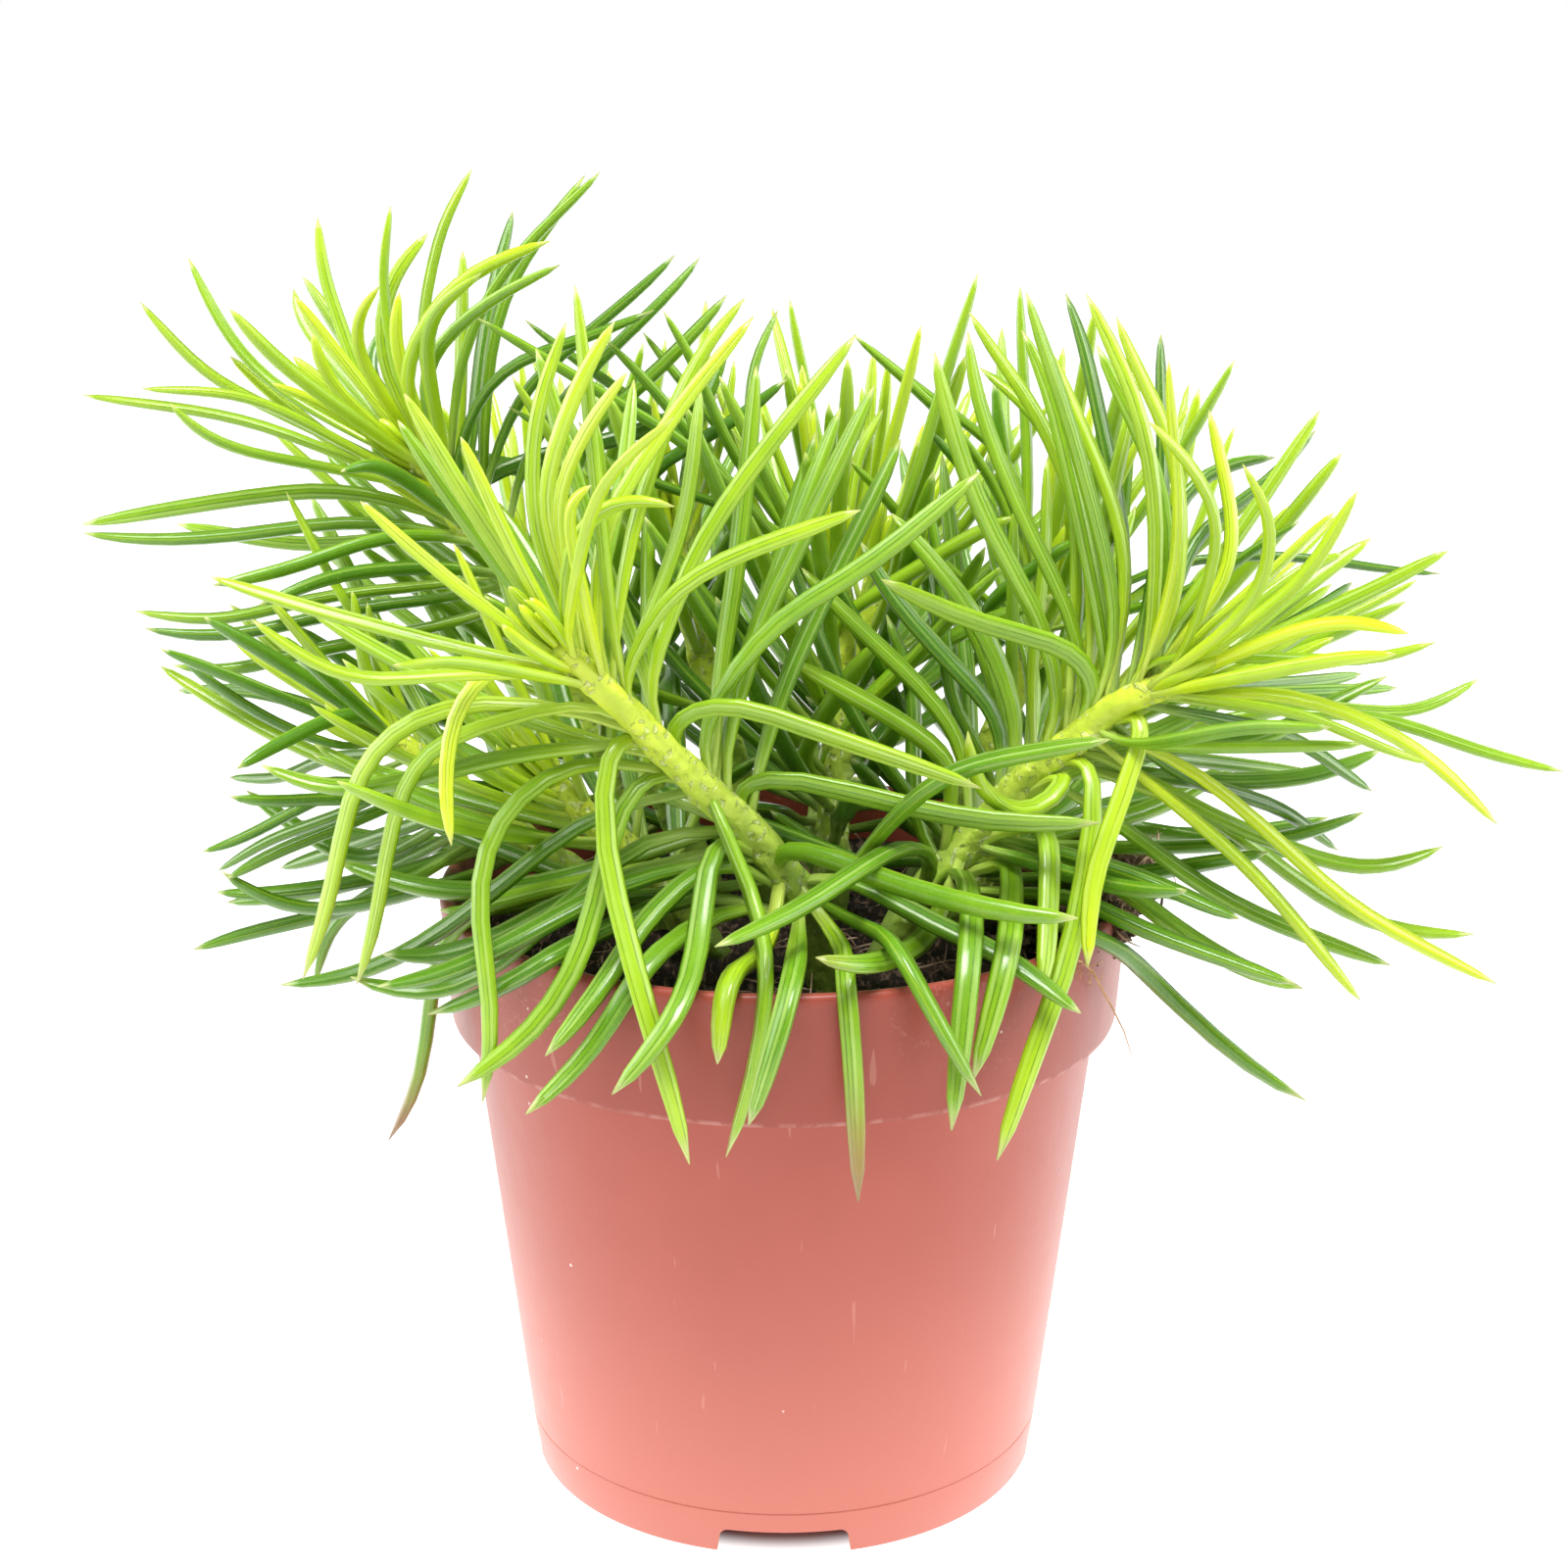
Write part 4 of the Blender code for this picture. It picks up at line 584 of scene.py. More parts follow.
        (-24, (60, 108), (80, 99)),
        (-24, (62.5, 138), (58, 120), (56, 113.5), (53.5, 105), (53.5, 90)),
        (-30, (53.5, 131.5), (48.5, 99), (42.5, 81.5), (34.5, 54.5)),
        (-42, (40, 108), (39, 97), (38, 77), (32, 51.5)),
        (-48, (30, 105), (31.5, 83), (30, 62), (28, 37.5)),
        (-36, (44, 118), (43, 102.5), (40.5, 87.5)),
        (-46, (26, 92.5), (20.5, 85), (13.5, 81.5), (5.5, 83)),
        (-54, (26.5, 110.5), (21.5, 113), (10, 105.5), (0, 98), (-16, 90)),
        (-6, (30, 126.5), (25, 131.6), (18.3, 136.5), (9.7, 141.3), (1.7, 145.7)),
        (8, (31, 131), (22, 143), (12.6, 152), (3, 162)),
        (14, (40.6, 133.5), (35.5, 149), (27, 161.4), (18.3, 171.2)),
        (22, (38.5, 132), (34.5, 148.5), (31, 155), (25, 164)),
    ],
    "shoot_low_left": [
        (-26, (-80.5, 141.5), (-88, 146.5), (-98.5, 153)),
        (-32, (-79, 143), (-86.5, 150.5)),
        (-20, (-82.5, 138), (-96.5, 144), (-106.5, 148)),
        (20, (-75, 136), (-82.5, 138), (-91, 140.5), (-104, 140.5)),
        (-14, (-75.5, 130.5), (-86, 134.5), (-95, 140), (-103, 146.5)),
        (-28, (-75, 137), (-90.5, 130.5), (-96, 127)),
        (28, (-80, 128.5), (-86.5, 125), (-96, 125)),
        (-20, (-68, 122), (-81.5, 121.5), (-88, 121), (-96, 121.5)),
        (18, (-72, 110), (-83, 115), (-93, 122.5)),
        (-14, (-80, 122), (-94, 114.5), (-101.5, 111.5)),
        (10, (-76, 119), (-89.5, 114), (-99, 108)),
        (-20, (-76, 117), (-90.5, 111), (-97.5, 106.5)),
        (24, (-72, 114), (-88, 108.5)),
        (-6, (-66, 108), (-90, 104), (-99.5, 104)),
        (-24, (-60, 103), (-80, 98), (-92, 101), (-97.5, 105)),
        (-12, (-72, 103), (-96, 96.5), (-104, 93.5)),
        (16, (-75, 106), (-98, 102)),
        (-6, (-72, 145), (-73.5, 158)),
        (6, (-70, 144), (-71, 156)),
        (12, (-71, 140), (-73, 151)),
        (6, (-75, 98), (-81, 91.5), (-83, 83)),
    ],
    "shoot_centre": [
        (18, (-7, 175), (-6, 193), (-4, 200), (-1, 205.5)),
        (8, (-16, 182), (-9.5, 199)),
        (-6, (-24, 176), (-14, 183.5), (-6, 188.5), (0.5, 194)),
        (-8, (-5, 144), (-19.5, 159.5), (-31, 167)),
    ],
    "shoot_middle": [
        (6, (-6, 180), (-17, 194), (-23.5, 202)),
        (-4, (-9, 183), (-14, 196), (-20, 205.5)),
        (-10, (-10, 178), (-19.5, 190), (-24, 195.5), (-29.5, 200.5)),
        (4, (-15, 183), (-29.5, 194), (-43, 204)),
        (-14, (-14, 182), (-23.5, 187.5), (-42.5, 199.5), (-50.5, 204)),
        (-8, (-2, 170), (-25, 178), (-46, 189.5)),
        (10, (12, 180), (16.5, 189)),
        (-6, (5, 126), (12, 136), (20, 144.5), (31, 151), (39.4, 154.3), (47, 157.6)),
        (-14, (14, 138), (21, 145), (29, 154.5), (37, 162.3)),
        (-12, (8, 152), (20.5, 160.5), (33, 168.3), (39, 170.8)),
        (-16, (3, 128), (8, 138), (13, 145), (16, 149)),
    ],
    "shoot_back_right": [
        (8, (39, 179), (32.5, 185.5), (23.5, 192), (13, 200.5)),
        (-6, (36, 176), (25, 190), (11.5, 201.5)),
        (-6, (65, 163), (84, 164.5), (93.5, 163.5), (101.5, 162), (111.5, 161)),
        (-20, (68, 158), (81.5, 167), (87, 170)),
        (-14, (24, 166), (17, 175), (11, 180.5)),
        (-10, (34, 174), (28, 182), (23.7, 186)),
        (-16, (34, 154), (45, 163.7), (50, 167)),
    ],
}

# The leaves that don't show grow by a rule: how many each stem has, and where along it they begin.
# A stem whose front is set out above gets only leaves that point away from the eye.
HIDDEN_LEAVES = {
    "shoot_front_left": (44, 0.05, True),
    "shoot_left": (48, 0.05, True),
    "shoot_right": (48, 0.05, True),
    "shoot_low_left": (40, 0.05, True),
    "shoot_centre": (50, 0.05, False),
    "shoot_middle": (50, 0.05, False),
    "shoot_back_right": (46, 0.05, False),
    "shoot_back_left": (44, 0.05, False),
    "shoot_back": (42, 0.05, False),
    "shoot_far_right": (40, 0.1, False),
    "shoot_low_front": (38, 0.02, False),
    "shoot_low_right": (38, 0.1, False),
}


def sighted(x, z, depth):
    """The real place of what shows at (x, z) in the plane of the pot's axis, at a depth behind it."""
    spread = (depth - EYE[1]) / -EYE[1]
    return np.array((x * spread, depth, EYE[2] + (z - EYE[2]) * spread)) * MM


def unit(vector):
    """The vector at length one."""
    return vector / np.linalg.norm(vector)


def lengths(vectors):
    """The length of each vector."""
    return np.linalg.norm(vectors, axis=-1)


def turned_away(upward, turn):
    """The direction square to this one at a turn round it."""
    side = unit(np.cross(upward, (0.0, 1.0, 0.2)))
    return math.cos(turn) * side + math.sin(turn) * np.cross(upward, side)


def smooth_path(points, count):
    """Evenly spaced points on a Catmull-Rom curve through the given ones."""
    knots = np.array([2 * points[0] - points[1], *points, 2 * points[-1] - points[-2]])
    fine = []
    for a, b, c, d in zip(knots, knots[1:], knots[2:], knots[3:]):
        for t in np.arange(12) / 12:
            fine.append(0.5 * (2 * b + (c - a) * t + (2 * a - 5 * b + 4 * c - d) * t * t
                               + (3 * b - a - 3 * c + d) * t ** 3))
    fine = np.array([*fine, points[-1]])
    length = np.concatenate(([0.0], np.cumsum(lengths(np.diff(fine, axis=0)))))
    even = np.linspace(0.0, length[-1], count)
    return np.stack([np.interp(even, length, fine[:, axis]) for axis in range(3)], axis=1)


def stem_path(name):
    """The stem's centre line, from inside the soil to its growing tip."""
    points = [sighted(*place) for place in STEMS[name]]
    root = points[0] + unit(points[0] - points[1]) * STEM_ROOT_DEPTH
    return smooth_path([root, *points], STEM_POINTS)


def stem_radius(point):
    """Half the stem's thickness at one of its points."""
    return np.interp(point, (STEM_AT_SOIL, STEM_POINTS - 3), (STEM_BASE_RADIUS, STEM_TIP_RADIUS))


def leaf_width(up_the_stem, draw):
    """A leaf's greatest width, from where on the stem it grows: slim at the tip, broad below."""
    return np.interp(up_the_stem, *LEAF_WIDTH) * draw.uniform(0.92, 1.08)


class Leaf:
    """One leaf: its centre line from the stem's core to the tip, and its greatest half width."""

    def __init__(self, shoot, path, upward, half_width, seen):
        self.shoot = shoot
        self.path = path
        self.upward = upward
        self.half_width = half_width
        self.seen = seen


def leaf_profile(along):
    """Half width along a leaf, as a part of its greatest: a narrow foot, a full middle, a fine tip."""
    return np.interp(along, *LEAF_PROFILE)


def in_pot(place):
    """True where a leaf's centre line would lie in the pot or in the soil."""
    around = math.hypot(place[0], place[1])
    if place[2] > RIM_TOP + 0.0025 or around > RIM_RADIUS + 0.0024:
        return False
    return place[2] < SOIL_LEVEL + 0.002 or around > RIM_RADIUS - 0.006


def seen_leaf(shoot, stem, reach, places, draw):
    """A leaf through the places where it shows, from its stem; over the rim it comes forward."""
    above = stem[STEM_AT_SOIL:]
    spread = (above[:, 1] / MM - EYE[1]) / -EYE[1]
    shown = np.stack([above[:, 0] / MM / spread, EYE[2] + (above[:, 2] / MM - EYE[2]) / spread], axis=1)
    distance = lengths(shown - places[0])
    nearest = int(np.argmin(distance))
    # a leaf that starts clear of its stem, or turns back from it, has its root lower down the stem
    towards = unit(np.array(places[-1]) - shown[nearest])
    growing = unit(shown[-1] - shown[-8])
    lower = distance[nearest] / 7 + 5 * (1 - towards @ growing) + draw.uniform(0, 3)
    nearest = abs(nearest - int(lower))
    depth = above[nearest, 1] / MM
    places = [tuple(shown[nearest])] + [place for place in places if math.dist(place, shown[nearest]) > 4]
    steps = [0.0]
    for a, b in zip(places, places[1:]):
        steps.append(steps[-1] + math.dist(a, b))
    points = []
    for (x, z), step in zip(places, steps):
        at = depth + reach * step / steps[-1]
        while points and in_pot(sighted(x, z, at)):
            at -= 0.5
        points.append(sighted(x, z, at))
    upward = unit(above[min(nearest + 1, len(above) - 1)] - above[max(nearest - 1, 0)])
    return Leaf(shoot, smooth_path(points, BEADS), upward, leaf_width(nearest / len(above), draw) / 2, True)


def hidden_leaves(shoot, stem, draw):
    """Leaves in a golden-angle spiral up the stem, short and steep at the tip, long and level below."""
    count, begin, away_only = HIDDEN_LEAVES[shoot]
    leaves = []
    for step in range(count):
        along = begin + (1 - begin) * step / (count - 1)
        at = STEM_AT_SOIL + along * (STEM_POINTS - STEM_AT_SOIL - 2)
        root = stem[int(at)]
        upward = unit(stem[int(at) + 1] - stem[int(at) - 1])
        outward = turned_away(upward, GOLDEN_ANGLE * step + 0.25 * draw.uniform(-1, 1))
        length = np.interp(along, *HIDDEN_LENGTH) * draw.uniform(0.88, 1.12)
        lean = math.radians(np.interp(along, *HIDDEN_LEAN) + draw.uniform(-9, 9))
        rise = np.interp(along, *HIDDEN_RISE) * draw.uniform(0.6, 1.3)
        half_width = leaf_width(along, draw) / 2
        if away_only and outward[1] < 0.3:
            continue
        heading = math.cos(lean) * upward + math.sin(lean) * outward
        bend = np.array((0.0, 0.0, rise))
        points = [root + length * (part * heading + part * part * bend) for part in (0, 0.3, 0.65, 1)]
        path = smooth_path(points, BEADS)
        path[:, 1] -= max(0.0, path[-1, 1] - BACK_REACH) * np.linspace(0, 1, BEADS) ** 2
        leaves.append(Leaf(shoot, path, upward, half_width, False))
    return leaves


def pot_push(places, radii, climbs):
    """How far beads must move to clear the pot and the soil; where a leaf climbs, over the rim."""
    gap = radii + CONTACT_GAP
    around = lengths(places[:, :2])
    outward = places * (1, 1, 0) / np.maximum(around, 1e-6)[:, None]
    rise = RIM_TOP + gap - places[:, 2]
    wall = np.interp(
        places[:, 2], (0, COLLAR_BOTTOM, RIM_TOP), (FOOT_RADIUS, COLLAR_BOTTOM_RADIUS, RIM_RADIUS))
    out = wall + gap - around
    inward = around - (RIM_RADIUS - LIP_WIDTH - gap)
    off_soil = SOIL_LEVEL + SOIL_BUMP / 2 + gap - places[:, 2]
    over_soil = (inward < 0) & (off_soil < SOIL_REACH)
    over_rim = climbs & (rise < RIM_REACH) & ~over_soil
    outside = (off_soil > 0) | (out < inward)
    lift = np.where(over_soil, np.maximum(0, off_soil), np.where(over_rim, rise, 0))
    aside = np.where(over_soil | over_rim, 0, np.where(outside, out, -inward))
    push = aside[:, None] * outward
    push[:, 2] += lift
    return np.where(((rise > 0) & (out > 0))[:, None], push, 0)


def lump_push(places, radii):
    """How far beads must move to clear the lump of peat."""
    size = np.array(LUMP_SIZE) + radii[:, None] + LUMP_GAP
    offset = (places - np.array(LUMP_CENTRE)) / size
    inside = lengths(offset)[:, None]
    return np.where(inside < 1, offset / np.maximum(inside, 0.1) * (1 - inside) * size, 0)


def bend_stops(path, first, last, tolerance):
    """The beads between two others where straight runs would leave the path by too much."""
    run = unit(path[last] - path[first])
    offset = path[first:last] - path[first]
    stray = lengths(offset - np.outer(offset @ run, run))
    worst = int(np.argmax(stray))
    if stray[worst] < tolerance:
        return [first]
    return bend_stops(path, first, first + worst, tolerance) + bend_stops(path, first + worst, last, tolerance)


def leaf_stops(leaf):
    """The beads of a leaf's centre line where its solid gets a ring."""
    tolerance = SEEN_TOLERANCE if leaf.seen else HIDDEN_TOLERANCE
    stops = []
    for first, last in ((0, 6), (6, 12), (12, BEADS - 1)):
        stops += bend_stops(leaf.path, first, last, tolerance)
    return stops


def straight_runs(leaf, fine):
    """Places along a leaf's solid, which runs straight from ring to ring."""
    stops = [*leaf_stops(leaf), BEADS - 1]
    return np.stack([np.interp(fine, stops, leaf.path[stops, axis]) for axis in range(3)], axis=1)


def drop_crossing(leaves, stems):
    """The leaves without those hidden ones that lie in another stem, in one of its leaves or in the pot."""
    fine = np.linspace(0, BEADS - 1, 4 * BEADS)
    profile = leaf_profile(fine / (BEADS - 1)) * CROSSING_GAIN
    paths = np.array([straight_runs(leaf, fine) for leaf in leaves])
    stem_radii = stem_radius(np.arange(STEM_POINTS))
    lows, highs = paths.min(axis=1), paths.max(axis=1)
    kept = []
    dropped = set()
    for number, leaf in enumerate(leaves):
        radii = leaf.half_width * profile
        crosses = lengths(pot_push(paths[number], radii, np.zeros(len(fine), bool))).max() > CONTACT_GAP
        for name, stem in stems.items():
            if name != leaf.shoot:
                gaps = lengths(paths[number][:, None] - stem[None, :]) - radii[:, None] - stem_radii
                crosses = crosses or gaps.min() < CLEARANCE
        near = ((lows < highs[number] + 0.005) & (highs > lows[number] - 0.005)).all(axis=1)
        for other in np.nonzero(near)[0]:
            if crosses or leaves[other].shoot == leaf.shoot or other in dropped:
                continue
            gaps = lengths(paths[number][:, None] - paths[other][None, :])
            room = radii[:, None] + leaves[other].half_width * profile[None, :] + CLEARANCE
            crosses = (gaps < room).any()
        if crosses and not leaf.seen:
            dropped.add(number)
        else:
            kept.append(leaf)
    return kept


def near_pairs(places, fixed_places):
    """Pairs of a leaf's bead and another leaf's bead or a stem's point that lie near each other."""
    tree = kdtree.KDTree(len(places) + len(fixed_places))
    for index, place in enumerate([*places, *fixed_places]):
        tree.insert(place, index)
    tree.balance()
    pairs = [
        (bead, other) for bead, place in enumerate(places)
        for _, other, _ in tree.find_range(place, SEARCH_REACH) if bead // BEADS != other // BEADS]
    return np.array(pairs).T


def part_leaves(leaves, stems):
    """Bends leaves apart where they would cross each other, the stems, the pot, the soil or the lump.

    A leaf is a row of beads. Beads that are too near push each other off: leaves that are listed as seen move
    along the line of sight, so that the front view holds, and the others move freely.
    """
    along = np.linspace(0, 1, BEADS)
    paths = np.array([leaf.path for leaf in leaves])
    spacing = lengths(np.diff(paths, axis=1))[:, :, None]
    rank = np.arange(BEADS)
    carry = np.minimum(1, (rank[:, None] + 0.3) / (rank[None, :] + 0.3)) ** 1.4
    names = list(stems)
    points = range(0, STEM_POINTS, 2)
    fixed_places = np.array([stems[name][point] for name in names for point in points])
    total = len(leaves) * BEADS
    leaf_shoots = np.repeat([names.index(leaf.shoot) for leaf in leaves], BEADS)
    leaf_radii = np.concatenate([leaf.half_width * leaf_profile(along) for leaf in leaves]) * CONTACT_GAIN
    leaf_seen = np.repeat([leaf.seen for leaf in leaves], BEADS)
    leans_out = lengths(paths[:, -1, :2]) > RIM_RADIUS
    shoots = np.concatenate((leaf_shoots, np.repeat(range(len(names)), len(points))))
    radii = np.concatenate((leaf_radii, [stem_radius(point) for _ in names for point in points]))
    seen = np.concatenate((leaf_seen, np.ones(len(fixed_places), bool)))
    ranks = np.concatenate((np.tile(rank, len(leaves)), np.full(len(fixed_places), BEADS)))
    for turn in range(ROUNDS):
        places = paths.reshape(-1, 3)
        if turn % SEARCH_ROUNDS == 0:
            one, other = near_pairs(places, fixed_places)
            is_stem = other >= total
            firm = is_stem | (ranks[other] < ROOT_BEADS)
            same = shoots[one] == shoots[other]
            roots = np.minimum(ranks[one], ranks[other]) < 2 * ROOT_BEADS
            yields = seen[one] & ~seen[other] & ~firm
            acts = (ranks[one] >= ROOT_BEADS) & ~(same & (is_stem | roots)) & ~yields
            one, other = one[acts], other[acts]
            share = np.where(firm[acts] | (seen[one] != seen[other]), 1.0, 0.5)
        away = places[one] - np.concatenate((places, fixed_places))[other]
        distance = np.maximum(lengths(away), 1e-5)
        room = radii[one] + radii[other] + CONTACT_GAP
        lack = np.maximum(room - distance, 0) * share
        push = away / distance[:, None] * lack[:, None]
        if turn < ROUNDS - FREE_ROUNDS:
            sight = places[one] - EYE * MM
            sight /= lengths(sight)[:, None]
            ahead = (away * sight).sum(axis=1)
            needed = np.sqrt(np.maximum(room ** 2 - distance ** 2 + ahead ** 2, 0)) - np.abs(ahead)
            step = np.where(lack > 0, np.copysign(needed * share, ahead), 0)
            push = np.where(seen[one][:, None], step[:, None] * sight, push)
        pushes = np.stack([np.bincount(one, push[:, axis], total) for axis in range(3)], axis=1)
        climbs = np.zeros(paths.shape[:2], bool)
        climbs[:, 1:] = (lengths(paths[:, :-1, :2]) < RIM_RADIUS - 0.001) & leans_out[:, None]
        pushes += pot_push(places, leaf_radii, climbs.ravel()) + lump_push(places, leaf_radii)
        pushes = pushes.reshape(paths.shape)
        pushes[:, :ROOT_BEADS] = 0
        busy = np.maximum(1.0, (lengths(pushes) > 0).sum(axis=1)[:, None, None] ** 0.5)
        paths = paths + PUSH_SHARE * np.einsum("ts,nsk->ntk", carry, pushes) / busy
        for bead in range(1, BEADS):
            step = paths[:, bead] - paths[:, bead - 1]
            size = lengths(step)[:, None]
            allowed = np.clip(size, spacing[:, bead - 1] * SHORTEST_STEP, spacing[:, bead - 1] * LONGEST_STEP)
            paths[:, bead:] += (step / size * allowed - step)[:, None, :]
        paths = np.round(paths, 7)
    for leaf, path in zip(leaves, paths):
        leaf.path = path


def grow():
    """All stems and leaves, bent clear of each other."""
    draw = random.Random(11)
    stems = {name: stem_path(name) for name in STEMS}
    leaves = []
    for name, stem in stems.items():
        for reach, *places in SEEN_LEAVES.get(name, []):
            leaves.append(seen_leaf(name, stem, reach, places, draw))
        leaves += hidden_leaves(name, stem, draw)
    part_leaves(leaves, stems)
    return stems, drop_crossing(leaves, stems)


stems, leaves = grow()

# How old a leaf looks, from 0 for yellow-green to 1 for dark green, where it isn't as its place on the
# stem would have it: by stem, one age for each of its leaves in the lists above
LEAF_AGES = {
    "shoot_front_left": [
        0.3, 0.3, 0.25, 0.08, 0.3, 0.35, 0.5, 0.4, 0.35, 0.45, 0.45, 0.4, 0.45, 0.55, 0.85, 0.55, 0.6,
        0.6, 0.35, 0.6, 0.65, 0.5, 0.7, 0.3, 0.2, 0.15, 0.05, 0.3, 0.15, 0.2, 0.3, 0.4, 0.4, 0.3, 0.35,
        0.5, 0.5, 0.55, 0.6, 0.8, 0.8, 0.8, 0.75, 0.75, 0.7, 0.6, 0.55, 0.7],
    "shoot_left": [
        0.35, 0.3, 0.3, 0.45, 0.35, 0.35, 0.15, 0.3, 0.15, 0.35, 0.8, 0.3, 0.35, 0.75, 0.5, 0.55, 0.25,
        0.35, 0.55, 0.1, 0.1, 0.45, 0.8, 0.45, 0.6, 0.5, 0.6, 0.8, 0.5, 0.8, 0.85, 0.7, 0.75, 0.7, 0.6,
        0.65, 0.85],
    "shoot_right": [
        0.35, 0.4, 0.45, 0.45, 0.3, 0.85, 0.3, 0.25, 0.5, 0.9, 0.1, 0.1, 0.3, 0.2, 0.75, 0.85, 0.4, 0.8,
        0.45, 0.45, 0.35, 0.2, 0.35, 0.05, 0.1, 0.15, 0.35, 0.5, 0.5, 0.5, 0.3, 0.2, 0.7, 0.65, 0.9, 0.3,
        0.8, 0.6, 0.65, 0.5, 0.6, 0.85, 0.1, 0.45, 0.55, 0.55, 0.65, 0.7, 0.15, 0.8, 0.75, 0.2, 0.35, 0.5,
        0.55, 0.35, 0.55, 0.65, 0.45, 0.5, 0.5, 0.5],
    "shoot_low_left": [
        0.75, 0.75, 0.75, 0.75, 0.75, 0.75, 0.75, 0.75, 0.75, 0.75, 0.75, 0.75, 0.75, 0.75, 0.75, 0.75,
        0.75, 0.3, 0.3, 0.3, 0.7],
    "shoot_centre": [0.6, 0.7, 0.85, 0.65],
    "shoot_middle": [0.6, 0.6, 0.6, 0.65, 0.6, 0.65, 0.3, 0.5, 0.5, 0.4, 0.5],
    "shoot_back_right": [0.6, 0.55, 0.85, 0.7, 0.55, 0.75, 0.65],
}
# How far a leaf's tip has withered, by stem and the leaf's number in its list
DRY_TIPS = {"shoot_front_left": {21: 0.9, 46: 1.0}, "shoot_right": {56: 0.3}}
AGE_UP_THE_STEM = ((0, 0.4, 0.8, 1), (0.85, 0.65, 0.3, 0.05))
LEAF_SIDES = 8
LEAF_RINGS = 14
LEAF_OUTLINE = (
    (0, 0.05, 0.12, 0.24, 0.42, 0.60, 0.78, 0.88, 0.94, 0.98, 1),
    (0.58, 0.52, 0.56, 0.82, 0.98, 1.0, 0.95, 0.84, 0.64, 0.38, 0.06))
STEM_SIDES = 28
STEM_RINGS = 170
STEM_MARKS = 34
TIP_LEAVES = 9
LEAF_FOOT = 0.0029
RIDGE_WIDTH = 0.0013
RIDGE_ABOVE = 0.0019
RIDGE_BELOW = 0.0075
RIDGE_HEIGHT = 0.00066
SCAR_RADIUS = 0.0024
SKIN_ROUGHNESS = 0.00018
SKIN_GRAIN = 520


def rod(name, sides, rings):
    """A closed round rod of radius one along Z, from 0 to 1, with even rings."""
    bpy.ops.mesh.primitive_circle_add(vertices=sides, radius=1)
    piece = bpy.context.object
    piece.name = name
    bpy.ops.object.mode_set(mode="EDIT")
    bpy.ops.mesh.select_all(action="SELECT")
    bpy.ops.mesh.edge_face_add()
    bpy.ops.mesh.flip_normals()
    for step in range(rings):
        bpy.ops.mesh.extrude_region_move(TRANSFORM_OT_translate={"value": (0, 0, 1 / rings)})
    close_ends()
    return piece


def points_of(piece):
    """The places of a piece's points."""
    places = np.empty(len(piece.data.vertices) * 3)
    piece.data.vertices.foreach_get("co", places)
    return places.reshape(-1, 3)


def wrap_skin(piece):
    """UV coordinates round the rod from its underside, and along it from the root to the tip."""
    places = points_of(piece)
    around = (np.arctan2(places[:, 1], places[:, 0]) / math.tau + 0.25) % 1.0
    skin = piece.data.uv_layers.new(name="skin")
    for face in piece.data.polygons:
        turns = [around[vertex] for vertex in face.vertices]
        for loop, vertex, turn in zip(face.loop_indices, face.vertices, turns):
            far = turn < 0.5 and max(turns) - turn > 0.5
            skin.data[loop].uv = (turn + far, places[vertex, 2])
    return places


def lay(piece, shape, path, upper, radii):
    """Lays a rod of this shape along a path, with its upper side towards a direction."""
    rings = len(path) - 1
    along = np.gradient(path, axis=0)
    along /= lengths(along)[:, None]
    ups = []
    for direction in along:
        upper = unit(upper - (upper @ direction) * direction)
        ups.append(upper)
    ups = np.array(ups)
    across = np.cross(along, ups)
    ring = np.clip(np.round(shape[:, 2] * rings).astype(int), 0, rings)
    places = path[ring] + (shape[:, :1] * across[ring] + shape[:, 1:2] * ups[ring]) * radii[ring][:, None]
    piece.data.vertices.foreach_set("co", places.ravel())


def note(piece, name, values):
    """Keeps a number for each point of a piece, for its material."""
    kept = piece.data.attributes.new(name, "FLOAT", "POINT")
    kept.data.foreach_set("value", np.broadcast_to(values, len(piece.data.vertices)).astype(np.float32))


leaf_rod = rod("leaf", LEAF_SIDES, LEAF_RINGS)
leaf_shape = wrap_skin(leaf_rod)
flat = leaf_shape[:, 1] > 0
# the upper side is nearly flat, with a shallow channel along it
leaf_shape[flat, 1] *= 0.50
leaf_shape[:, 1] -= 0.12 * np.maximum(0, 1 - np.abs(leaf_shape[:, 0]) * 2.2) * flat
stem_rod = rod("stem", STEM_SIDES, STEM_RINGS)
stem_shape = wrap_skin(stem_rod)


def even_path(path, rings):
    """A leaf's centre line without its small kinks, with more rings where it bends and near the tip.

    Also gives how far along the leaf each ring is, from 0 to 1.
    """
    path = path.copy()
    for _ in range(3):
        path[1:-1] = (path[:-2] + 2 * path[1:-1] + path[2:]) / 4
    fine = smooth_path(list(path), 8 * rings + 1)
    steps = np.diff(fine, axis=0)
    steps /= lengths(steps)[:, None]
    turns = np.arccos(np.clip((steps[1:] * steps[:-1]).sum(axis=1), -1, 1))
    parts = np.linspace(0, 1, len(fine))
    cost = parts + np.concatenate(([0.0], np.cumsum(turns), [turns.sum()])) / 2.5
    marks = (1 - (1 - np.linspace(0, 1, rings + 1)) ** 1.3) * cost[-1]
    places = np.interp(marks, cost, parts)
    line = np.stack([np.interp(places, parts, fine[:, axis]) for axis in range(3)], axis=1)
    return line, places


def dress_leaf(path, upward, half_width, age, dry):
    """A fine leaf along a centre line."""
    piece = copy_of(leaf_rod)
    line, parts = even_path(path, LEAF_RINGS)
    lay(piece, leaf_shape, line, upward, half_width * np.interp(parts, *LEAF_OUTLINE))
    note(piece, "age", age)
    note(piece, "dry", dry)
    return piece


